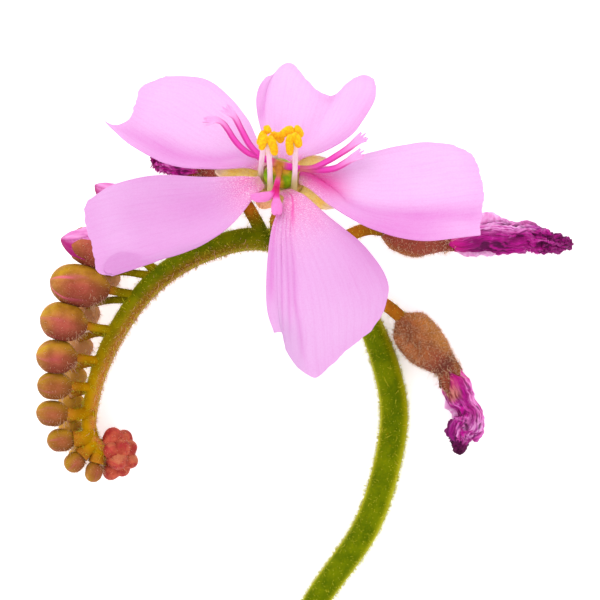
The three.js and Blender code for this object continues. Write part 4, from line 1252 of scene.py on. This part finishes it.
def bud_finish():
    finish = Finish("bud_skin", roughness=0.6, specular=0.1)
    patches = finish.noise(0.8, detail=3)
    grain = finish.noise(0.08, detail=2)
    body = finish.mottle(patches, (140, 62, 42), (166, 76, 62))
    body = finish.blend("foot", body, (120, 62, 26))
    # painted shade: dark red on the side that faces away from the light
    body = finish.blend("under", body, (104, 40, 26))
    ochre = finish.mottle(patches, (154, 112, 0), (182, 138, 24))
    # painted light: ochre on the side that faces the light
    lit = finish.times("upper", finish.spread(patches, 0.1, 0.6, 0.7, 1.0))
    tint = finish.blend(lit, body, ochre)
    tint = finish.blend(finish.times("small", 0.4), tint, (130, 88, 0))
    shaded = finish.blend("gold", (222, 160, 108), (218, 168, 50))
    tint = finish.blend(finish.times("rear", 0.7), tint, shaded)
    tint = finish.blend(finish.spread(grain, 0.5, 0.75, 0, 0.25), tint, (206, 150, 112))
    tint = finish.blend("seam", tint, (222, 92, 136))
    finish.paint(tint)
    finish.bump(grain, 0.008, 0.8)
    return finish


def bud_rings(foot, tip, radius, seed, turn):
    """A closed bud of five sepals and the values that its colour needs."""
    track = Track([foot, tip], lambda t: radius * bud_radius(t))
    t, angle = wrap(46, 50)
    groove, phase = seams(angle + turn, t, 0.25)
    share = (0.99 + 0.02 * np.cos(5 * angle) - 0.055 * groove * smoothstep(t, 0.1, 0.4)
             + 0.03 * phase * smoothstep(t, 0.1, 0.4))
    rings = track.roughened(track.at(t, angle, share), t, 0.5, 0.02, seed)
    # painted light on the upper side, painted shade on the under side
    upper = smoothstep(track.facing(rings, t, BUD_LIT_SIDE), 0.1, 0.95)
    values = {
        "upper": np.clip(upper + 0.5 * smoothstep(t, 0.6, 1.0), 0, 1),
        "under": 0.8 * smoothstep(track.facing(rings, t, BUD_SHADED_SIDE), 0.2, 0.95),
        "foot": 1 - smoothstep(t, 0.05, 0.5),
        "seam": groove * smoothstep(t, 0.3, 0.85) * (0.8 if radius > 1.3 else 0.25),
        "small": smoothstep(-radius, -1.15, -0.9),
    }
    return rings, values


def make_buds():
    skin = bud_finish()
    hairs = Shape()
    rows = [(f"bud_front_{n}", place) for n, place in enumerate(FRONT_BUDS, 1)]
    rows += [(f"bud_rear_{n}", place) for n, place in enumerate(REAR_BUDS, 1)]
    for seed, (name, (_, foot, tip, radius)) in enumerate(rows, 50):
        shape = Shape()
        rear = 1.0 if "rear" in name else 0.0
        size = radius * (REAR_SHARE if rear else 1.0)
        rings, values = bud_rings(foot, tip, size, seed, 0.3 * seed - SEAM_START)
        values["small"] = values["small"] * (1 - rear)
        shape.add_loft(rings, rear=rear, gold=smoothstep(-foot[1], 10.0, 14.0), **values)
        piece(name + "_sepals", shape, [skin], [name])
        spread_hairs(hairs, shape, int(150 * radius), (0.06, 0.2), seed,
                     lambda values: 0.1 + values["under"] + 0.5 * values["foot"], radius=0.009)
        spread_hairs(hairs, shape, int(30 * radius), (0.2, 0.42), seed + 100,
                     lambda values: values["foot"] * values["under"], lean=(0, -0.6, 0), radius=0.014)
    make_opening_buds(hairs, skin)
    make_head(hairs)
    piece("bud_hairs", hairs, [hair_finish("bud_hair", (196, 146, 104), (232, 200, 172))])


# ---------- opening buds ----------


def opening_corolla_finish():
    finish = Finish("opening_corolla_skin", roughness=0.5, specular=0.15)
    streaks = finish.noise(0.06, detail=3, place=finish.lanes(0.3))
    tint = finish.mottle(streaks, (214, 110, 184), (238, 156, 214))
    # painted shade: deep magenta on the side that faces away from the light
    tint = finish.blend("under", tint, (168, 14, 112))
    tint = finish.blend("fold", tint, (150, 10, 96))
    finish.paint(tint, translucent=0.15)
    finish.bump(streaks, 0.02, 0.5)
    return finish


def teeth(angle, low, points, power):
    """Place of a five-toothed rim at each angle, and 0 to 1 from a tooth's middle to its side."""
    turn = 5 * angle / TURN
    number = np.floor(turn).astype(int) % 5
    side = np.abs(turn - np.floor(turn) - 0.5) * 2
    return low + (np.array(points)[number] - low) * (1 - side) ** power, side


def cup_rings(rim, thickness, depth):
    """Places up the outside of a cup to its rim and back down its inside, and how far out each is."""
    out = np.linspace(0, 1, 48)[:, None] * rim
    back = np.linspace(1, depth, 12)[:, None] * rim
    t = np.vstack([out, back])
    lift = np.vstack([0 * out + 0.02, 0 * back + 0.02 - thickness])
    return t, lift


def opening_calyx(foot, tip, radius, seed):
    """Five pointed sepals round a furled corolla."""
    angle = around(90)
    rim, side = teeth(angle + SEPAL_TURN, TOOTH_ROOT, TOOTH_POINTS, 0.14)
    track = Track([foot, tip], lambda t: radius * bud_radius(t, OPENING_PROFILE))
    t, lift = cup_rings(rim, 0.09, 0.55)
    groove = np.exp(-((1 - side) / 0.12) ** 2) * smoothstep(t, 0.05, 0.3)
    rings = track.roughened(track.at(t, angle, 1 - 0.05 * groove, lift), t, 0.5, 0.02, seed)
    # painted light on the upper side and painted shade on the under side, as on the closed buds
    top = smoothstep(track.facing(rings, t, BUD_LIT_SIDE), 0.2, 1.0)
    values = {
        "upper": 0.25 * top + 0.2 * smoothstep(t, 0.6, 0.85),
        "under": 0.8 * smoothstep(track.facing(rings, t, BUD_SHADED_SIDE), 0.2, 0.95),
        "foot": 1 - smoothstep(t, 0.05, 0.4),
    }
    return rings, values


def opening_corolla(foot, tip, radius, seed):
    """Petals furled round each other."""
    t, angle = wrap(60, 72, start=0.25)
    phase = (5 * angle / TURN + 1.6 * t + 0.3) % 1  # five overlapping edges that wind round
    share = 0.89 + 0.09 * phase - 0.02 * np.cos(15 * angle + 8 * t)
    track = Track([foot, tip], lambda t: radius * bud_radius(t, OPENING_PROFILE))
    rings = track.roughened(track.at(t, angle, share), t, 0.6, 0.04, seed)
    # painted shade on the side that faces away from the light
    under = smoothstep(track.facing(rings, t, BUD_SHADED_SIDE), -0.3, 0.5)
    fold = 0.6 * (1 - smoothstep(phase, 0, 0.22)) + 0.5 * smoothstep(t, 0.93, 1.0)
    return rings, {"along": t, "across": angle / TURN, "fold": fold, "under": under}


def make_opening_buds(hairs, skin):
    pink = opening_corolla_finish()
    for number, (_, foot, tip, radius) in enumerate(OPENING_BUDS, 1):
        name, calyx, corolla = f"opening_bud_{number}", Shape(), Shape()
        rings, values = opening_calyx(foot, tip, radius, 80 + number)
        calyx.add_loft(rings, **values)
        rings, values = opening_corolla(foot, tip, radius, 90 + number)
        corolla.add_loft(rings, **values)
        piece(name + "_sepals", calyx, [skin], [f"opening_bud_calyx_{number}"])
        piece(name + "_petals", corolla, [pink], [f"opening_bud_corolla_{number}"])
        spread_hairs(hairs, calyx, 380, (0.08, 0.24), 200 + number)


# ---------- head of forming buds at the tip ----------

# centre and radius of each small bud round the core
HEAD_BUDS = [
    (-10.90, -16.95, 2.0, 0.78), (-10.28, -16.98, 1.6, 0.66), (-9.98, -17.55, 1.9, 0.62),
    (-9.92, -18.30, 1.8, 0.60), (-10.40, -18.75, 1.5, 0.62), (-11.05, -18.95, 1.35, 0.66),
    (-10.62, -18.30, 2.5, 0.66), (-11.00, -17.65, 2.6, 0.58), (-10.40, -17.50, 2.5, 0.62),
    (-10.95, -18.45, 1.0, 0.60), (-10.30, -17.95, 1.0, 0.60), (-10.80, -17.35, 1.1, 0.60),
]
HEAD_CORE = (-10.68, -17.96, 1.8, 0.85)


def head_finish():
    finish = Finish("head_skin", roughness=0.6, specular=0.1)
    patches = finish.noise(0.5, detail=3)
    grain = finish.noise(0.08, detail=2)
    red = finish.mottle(patches, (142, 40, 32), (186, 84, 60))
    # painted shade: darker red in the grooves of the small buds; also darker towards their tips
    red = finish.blend("seam", red, (164, 26, 48))
    tan = finish.mottle(grain, (184, 112, 70), (206, 140, 98))
    # painted highlight: tan on the side of each small bud that faces the light
    finish.paint(finish.blend("upper", red, tan))
    finish.bump(grain, 0.01, 0.8)
    return finish


def ball_radius(t):
    """Share of a small bud's radius along it: a ball that is slimmer towards its tip."""
    ball = np.sqrt(np.clip(1 - np.abs(2 * t - 1) ** 2.3, 0.0, 1)) + 0.02
    return ball * (1 - 0.22 * smoothstep(t, 0.4, 1.0))


def make_head(hairs):
    """Small buds that lean away from the middle of the head."""
    shape = Shape()
    core = np.array(HEAD_CORE[:3])
    t, angle = wrap(28, 40)
    groove, phase = seams(angle, t, 0.4)
    share = 1 - 0.10 * groove * smoothstep(t, 0.3, 0.8) + 0.04 * phase
    for x, y, z, radius in [HEAD_CORE] + HEAD_BUDS:
        middle = np.array([x, y, z])
        away = unit(middle - core + [0.01, 0.02, 0.05])
        track = Track([middle - away * radius, middle + away * radius * 1.06],
                      lambda t, radius=radius: radius * ball_radius(t), up=(0.3, 0.2, 1))
        rings = track.at(t, angle, share)
        outward = track.outward(rings, t)
        # painted highlight on the side that faces the light, painted shade in the grooves
        upper = outward[..., 2] * 0.25 + outward[..., 1] * 0.7
        shape.add_loft(rings, seam=groove * smoothstep(t, 0.4, 0.8) * 0.8 + 0.25 * smoothstep(t, 0.75, 1),
                       upper=0.6 * smoothstep(upper, 0.0, 0.9))
    piece("bud_head_cluster", shape, [head_finish()], ["bud_head"])
    spread_hairs(hairs, shape, 500, (0.06, 0.18), 300, radius=0.009)


# ---------- withered flowers ----------

# calyx: middle line and radius from the stalk, past the neck, to where its points end.
# "sepal_points" says where along it its five points end, "sepal_turn" turns them, "rosy" is how red
# it is, and it is painted yellower, as painted light, on the side that faces the direction "lit".
# "hairs" is their number.
# core: middle line and radius of the crumpled petals, with "mesh" rows and sides, folds that wind
# round by "twist", and a seed. They get painted light on the side that faces the direction "bright",
# and are as dark as "dark" from the place "dark_from" on. Each frill is a thin margin that stands off
# them: where it starts, ends and is widest along them, the direction round them, from 0 on the left,
# over the top, to pi on the right, and its width. Each band is a patch of another colour: its middle
# and reach along them, and round them.
WITHERED = [
    {
        "calyx": [(7.91, -8.95, 1.98, 0.48), (8.68, -9.86, 1.80, 1.38), (9.46, -10.77, 1.72, 1.41),
                  (10.24, -11.52, 1.65, 1.12), (11.00, -12.36, 1.52, 0.78), (11.38, -13.32, 1.40, 0.97),
                  (11.77, -14.37, 1.30, 1.09)],
        "sepal_points": (0.76, 0.90, 0.84, 0.78, 0.74), "sepal_turn": -0.35, "rosy": 0.0,
        "lit": (1.0, 0.5, 0.2), "hairs": 3000,
        "core": [(10.98, -12.36, 1.50, 0.60), (11.46, -13.25, 1.42, 0.90), (11.78, -14.05, 1.32, 0.92),
                 (12.12, -14.72, 1.28, 0.70), (12.48, -15.35, 1.25, 0.84), (12.32, -15.98, 1.22, 1.02),
                 (11.84, -16.50, 1.15, 0.90), (11.82, -17.05, 0.95, 0.56), (11.76, -17.52, 0.75, 0.38),
                 (11.64, -17.84, 0.55, 0.20)],
        "frills": [(0.16, 0.54, 0.34, 3.20, 0.85), (0.48, 0.84, 0.60, 0.00, 0.44),
                   (0.60, 0.88, 0.72, 3.10, 0.26), (0.04, 0.40, 0.20, 0.20, 0.22)],
        "bands": [("deep", 0.22, 0.34, 1.30, 0.38), ("husk", 0.14, 0.10, 2.15, 0.62),
                  ("lilac", 0.58, 0.12, 1.1, 0.75), ("dusk", 0.71, 0.10, 3.0, 0.9)],
        "mesh": (190, 150), "bright": (1.0, 0.3, 0.3), "dark": 1.0, "dark_from": 0.68, "seed": 0.4,
        "twist": 0.8,
    },
    {
        "calyx": [(6.72, -3.24, 2.13, 0.48), (7.60, -3.42, 1.95, 1.12), (8.90, -3.72, 1.80, 1.28),
                  (10.00, -3.95, 1.65, 0.86), (10.90, -4.04, 1.50, 0.54), (11.77, -4.04, 1.50, 0.68),
                  (13.41, -3.55, 1.45, 1.41)],
        "sepal_points": (0.73, 0.72, 0.79, 0.74, 0.70), "sepal_turn": 0.63, "rosy": 1.0,
        "lit": (0.0, -1.0, -0.3), "hairs": 1500,
        "core": [(10.90, -4.06, 1.50, 0.45), (11.75, -4.05, 1.50, 0.62), (12.60, -3.85, 1.48, 0.85),
                 (13.50, -3.72, 1.45, 1.00), (14.40, -3.72, 1.40, 1.08), (15.30, -3.76, 1.30, 1.00),
                 (16.20, -3.70, 1.15, 0.86), (16.90, -3.92, 1.00, 0.82), (17.60, -4.05, 0.85, 0.66),
                 (18.40, -4.15, 0.70, 0.50), (19.08, -4.12, 0.50, 0.33)],
        "frills": [(0.04, 0.54, 0.16, 0.12, 1.16), (0.04, 0.50, 0.24, 3.00, 0.66),
                   (0.30, 0.84, 0.50, 0.10, 0.56), (0.50, 0.82, 0.72, 3.00, 0.22)],
        "bands": [("deep", 0.34, 0.50, 2.00, 0.75), ("lilac", 0.36, 0.30, 0.50, 0.6)],
        "mesh": (210, 150), "bright": (-0.3, 1.0, 0.0), "dark": 0.5, "dark_from": 0.72, "seed": 2.1,
        "twist": 0.4,
    },
    {
        "calyx": [(-2.78, -0.86, 2.42, 0.48), (-3.30, -0.52, 2.30, 1.15), (-4.00, -0.08, 2.10, 1.36),
                  (-4.60, 0.30, 2.00, 0.95), (-5.16, 0.62, 1.88, 0.62), (-6.24, 1.02, 1.70, 0.94),
                  (-7.09, 1.48, 1.55, 1.20)],
        "sepal_points": (0.78, 0.74, 0.82, 0.76, 0.72), "sepal_turn": 0.0, "rosy": 0.6,
        "lit": (0.0, -1.0, 0.0), "hairs": 800,
        "core": [(-5.16, 0.62, 1.88, 0.50), (-6.24, 1.02, 1.70, 0.90), (-7.05, 1.46, 1.55, 1.10),
                 (-7.74, 1.86, 1.30, 1.00), (-8.30, 2.16, 1.10, 0.55)],
        "frills": [(0.15, 0.80, 0.50, 0.10, 0.40), (0.15, 0.80, 0.50, 3.00, 0.30)],
        "bands": [],
        "mesh": (110, 100), "bright": (0.0, 1.0, 0.4), "dark": 0.3, "dark_from": 0.74, "seed": 4.3,
        "twist": 0.8,
    },
]


FRILL_THICKNESS = 0.035
LOWEST = 0.01  # the dry petals lie on the floor, no lower than this


def dry_calyx_finish():
    finish = Finish("dry_calyx_skin", roughness=0.65, specular=0.1)
    patches = finish.noise(0.8, detail=3)
    grain = finish.noise(0.07, detail=3, rough=0.7)
    brown = finish.mottle(patches, (102, 46, 18), (158, 86, 36), 0.2, 0.8)
    brown = finish.blend(finish.spread(grain, 0.50, 0.68, 0, 0.7), brown, (222, 176, 134))
    rosy = finish.mottle(grain, (112, 42, 30), (162, 80, 60))
    # painted light: yellower on the side that faces the light
    brown = finish.blend(finish.times("lit", 0.4), brown, (200, 136, 50))
    tint = finish.blend("rosy", brown, rosy)
    # painted shade: dark brown-purple round the neck, on one side
    neck = finish.times("neck", finish.spread(grain, 0.3, 0.6, 0.3, 0.9))
    tint = finish.blend(neck, tint, (84, 40, 34))
    finish.paint(finish.blend("dark", tint, (80, 32, 16)))
    finish.bump(grain, 0.012, 0.9)
    return finish


def dry_folds(finish, streaks, patches):
    """Purple petals with painted light on one side, painted highlights on their crests, lilac and deep
    patches.
    """
    tint = finish.mottle(streaks, (92, 0, 72), (200, 0, 152), 0.38, 0.58)
    tint = finish.blend(finish.spread(patches, 0.5, 0.7, 0, 0.5), tint, (200, 30, 160))
    # painted light: paler pink on the side that faces the light
    bright = finish.mottle(streaks, (200, 4, 146), (250, 168, 230), 0.40, 0.58)
    tint = finish.blend("bright", tint, bright)
    # painted highlight on the crests of the folds
    crest = finish.times("crest", finish.spread(streaks, 0.35, 0.62, 0.15, 0.9))
    tint = finish.blend(crest, tint, (234, 132, 214))
    lilac = finish.mottle(streaks, (196, 50, 170), (246, 190, 238), 0.35, 0.6)
    tint = finish.blend(finish.times("lilac", finish.spread(patches, 0.35, 0.6)), tint, lilac)
    deep = finish.mottle(streaks, (122, 0, 88), (182, 0, 138), 0.35, 0.65)
    return finish.blend("deep", tint, deep)


def dry_petal_finish():
    finish = Finish("dry_petal_skin", roughness=0.5, specular=0.08)
    streaks = finish.noise(0.02, detail=4, place=finish.lanes(0.14))
    patches = finish.noise(0.5, detail=3)
    tint = dry_folds(finish, streaks, patches)
    fibres = finish.noise(0.03, detail=3, place=finish.lanes(0.22))
    apart = finish.calculate("ABSOLUTE", finish.calculate("SUBTRACT", fibres, 0.5))
    threads = finish.times(finish.spread(apart, 0.0, 0.016, 0.75, 0.0), finish.spread(patches, 0.44, 0.58))
    plain = finish.calculate("SUBTRACT", 1.0, finish.times("deep", 0.7))
    tint = finish.blend(finish.times(threads, plain), tint, (240, 158, 226))
    # painted shade in the hollows between the folds
    tint = finish.blend("hollow", tint, (72, 0, 56))
    dusk = finish.mottle(streaks, (70, 4, 62), (138, 16, 112), 0.35, 0.65)
    tint = finish.blend("dusk", tint, dusk)
    husk = finish.mottle(fibres, (140, 58, 50), (208, 130, 118), 0.42, 0.56)
    tint = finish.blend("husk", tint, husk)
    tint = finish.blend("root", tint, (222, 20, 140))
    dark = finish.mottle(streaks, (40, 14, 30), (112, 6, 84))
    finish.paint(finish.blend("dark", tint, dark), translucent=0.15)
    finish.bump(streaks, 0.03, 0.5)
    return finish


def dry_frill_finish():
    finish = Finish("dry_frill_skin", roughness=0.45, specular=0.12)
    lines = finish.noise(0.04, detail=3, place=finish.lanes(2.0))
    base = finish.mottle(lines, (212, 60, 172), (234, 134, 214), 0.35, 0.65)
    rim = finish.mottle(lines, (232, 146, 214), (246, 204, 240), 0.35, 0.65)
    tint = finish.blend("rim", base, rim)
    finish.paint(finish.blend("dark", tint, (120, 0, 94)), translucent=0.6)
    finish.bump(lines, 0.03, 0.5)
    return finish


def smooth_radii(values):
    """Radius along a body as a smooth curve through values."""
    places = np.linspace(0, 1, len(values))
    dense = smooth_curve(np.stack([places, values], -1), np.linspace(0, 1, 200))
    return lambda t: np.interp(t, dense[:, 0], dense[:, 1])


def track_of(rows):
    """Track through points that carry their radius as a fourth value."""
    return Track([row[:3] for row in rows], smooth_radii([row[3] for row in rows]))


def withered_calyx(flower):
    """The hairy bulb of a calyx, closing round the corolla's foot with five pointed tips."""
    track = track_of(flower["calyx"])
    angle = around(100)
    rim, side = teeth(angle + flower["sepal_turn"], 0.64, flower["sepal_points"], 0.6)
    t, lift = cup_rings(rim, 0.07, 0.6)
    groove = np.exp(-((1 - side) / 0.10) ** 2) * smoothstep(t, 0.1, 0.5)
    rings = track.at(t, angle, 1 - 0.05 * groove, lift)
    bumps = 0.05 * noise_at(rings, 0.7, flower["seed"]) + 0.02 * noise_at(rings, 0.2, flower["seed"])
    rings = rings + bumps[..., None] * track.outward(rings, t)
    rosy = 0.8 * smoothstep(t, 0.3, 0.6) + 0.3 * groove + flower["rosy"]
    # painted light on the side that faces the direction "lit"
    lit = smoothstep(track.facing(rings, t, flower["lit"]), 0.3, 0.95)
    # painted shade at the neck
    neck = np.exp(-((t - 0.60) / 0.07) ** 2) * smoothstep(np.cos(angle - TURN / 4), -0.2, 0.6)
    neck = neck * (1 - 0.75 * flower["rosy"])
    shape = Shape()
    shape.add_loft(rings, rosy=np.clip(rosy - 0.6 * lit, 0, 1), tip=smoothstep(t, 0.5, 0.7), lit=lit,
                   neck=neck, dark=0.5 * smoothstep(t, rim - 0.1, rim) * (1 - 0.5 * side))
    return shape


def ridges(t, angle, around, along, seed):
    """Sharp crests between round hollows, from 0 to 1: so many round a body and so many along it."""
    reach = around / TURN
    places = np.stack(np.broadcast_arrays(reach * np.cos(angle), reach * np.sin(angle), along * t), -1)
    return np.clip(1 - 2.2 * np.abs(noise_at(places, 1.0, seed)), 0, 1)


def crumpled(points, seed, folds):
    """Points moved every way by noise: each fold is its size and how far it moves them."""
    for size, reach in folds:
        drift = np.stack([noise_at(points, size, seed + axis) for axis in (1, 20, 40)], -1)
        points = points + np.asarray(reach)[..., None] * drift
    return points


def band_values(flower, t, angle):
    """How much of each band's colour there is on dry petals, from 0 to 1."""
    values = {}
    for name, middle, long, direction, wide in flower["bands"]:
        around = (angle - direction + TURN / 2) % TURN - TURN / 2
        values[name] = np.exp(-((t - middle) / long) ** 4 - (around / wide) ** 4)
    return values


def corolla_core(shape, flower):
    """Petals crumpled into one body, in long folds near the calyx and in short ones near the tip."""
    seed = flower["seed"]
    track = track_of(flower["core"])
    t, angle = wrap(*flower["mesh"])
    winding = angle + flower["twist"] * t
    pace = t * (0.5 + t)  # folds are shorter towards the tip
    brittle = smoothstep(t, 0.55, 0.8)
    height = (0.4 * ridges(pace, winding, 6, 3.0, seed) + 0.3 * ridges(pace, winding, 16, 7.0, seed + 10)
              + 0.2 * ridges(pace, winding, 30, 14.0, seed + 15)
              + 0.05 + 0.2 * brittle * (ridges(pace, winding, 18, 24.0, seed + 20) - 0.5))
    fold = CRUMPLE * (0.35 + 0.65 * smoothstep(t, 0.3, 0.7)) * (height - 0.55)
    rings = track.at(t, angle, 1.0 + fold)
    rings = crumpled(rings, seed, ((0.6, 0.08 + 0 * brittle), (0.26, 0.05 + 0.08 * brittle)))
    start = flower["dark_from"]
    dark = flower["dark"] * smoothstep(t + 0.12 * (height - 0.6), start, start + 0.2)
    # painted light on the side that faces the direction "bright"
    bright = smoothstep(track.facing(rings, t, flower["bright"]), -0.1, 0.8)
    bright = bright * (1 - smoothstep(t, 0.4, 0.65))
    shape.add_loft(rings, along=t, across=winding / TURN, dark=dark, bright=0.8 * bright,
                   # painted highlight on the crests, painted shade in the hollows
                   crest=0.8 * smoothstep(height, 0.62, 0.8) * (1 - dark),
                   hollow=0.85 * (1 - smoothstep(height, 0.25, 0.48)),
                   root=0.6 * (1 - smoothstep(t, 0.02, 0.2)), **band_values(flower, t, angle))
    return track


def frill(shape, track, seed, start, end, widest, direction, width):
    """A thin, see-through margin of a dry petal that stands off the corolla."""
    seed = seed + 7 * start + direction
    r, k = grid(int(140 * (end - start)) + 24, 18)
    out = (k + 1) / 2
    t = start + (end - start) * r
    peak = (widest - start) / (end - start)
    swell = np.sin(math.pi * np.clip(r, 0.01, 0.99) ** (math.log(0.5) / math.log(peak))) ** 0.7
    line = np.stack([r, 0 * r, 0 * r], -1)
    ragged = 1 + 0.35 * noise_at(line, 0.22, seed) + 0.12 * noise_at(line, 0.06, seed + 2)
    sway = direction + 0.3 * noise_at(line, 0.5, seed + 3) + 0.5 * out * noise_at(line, 0.25, seed + 4)
    middle = track.at(t, sway, 0.6, width * swell * ragged * out)
    middle = crumpled(middle, seed, ((0.6, 0.14 * out), (0.2, 0.05 * out)))
    film = 1 - smoothstep(t, 0.4, 0.6)  # towards the tip it is as dark as the rest
    shape.add_leaf(middle, FRILL_THICKNESS, part=1, along=t, across=0.1 * out + seed,
                   rim=film * smoothstep(out, 0.15, 0.8), dark=0.9 * smoothstep(t, 0.5, 0.8))


def withered_corolla(flower):
    """Dry petals: the crumpled body and the margins that stand off it."""
    shape = Shape()
    track = corolla_core(shape, flower)
    for place in flower["frills"]:
        frill(shape, track, flower["seed"], *place)
    shape.keep_above(LOWEST)
    return shape


def make_withered():
    brown, purple, pale = dry_calyx_finish(), dry_petal_finish(), dry_frill_finish()
    hairs = Shape()
    for number, flower in enumerate(WITHERED, 1):
        calyx, corolla = withered_calyx(flower), withered_corolla(flower)
        node = f"withered_calyx_{number}"
        piece(node + "_sepals", calyx, [brown], [node])
        node = f"withered_corolla_{number}"
        piece(node + "_petals", corolla, [purple, pale], [node])
        spread_hairs(hairs, calyx, flower["hairs"], (0.10, 0.26), 400 + number, radius=0.014)
        spread_hairs(hairs, calyx, 140, (0.3, 0.6), 410 + number, lambda values: values["tip"],
                     radius=0.018, loose=0.6)
    piece("dry_calyx_hairs", hairs,
          [hair_finish("dry_calyx_hair", (186, 128, 84), (250, 226, 190))])


make_camera()
make_light()
make_floor()
make_stem()
make_petals()
make_flower_centre()
make_buds()
make_withered()
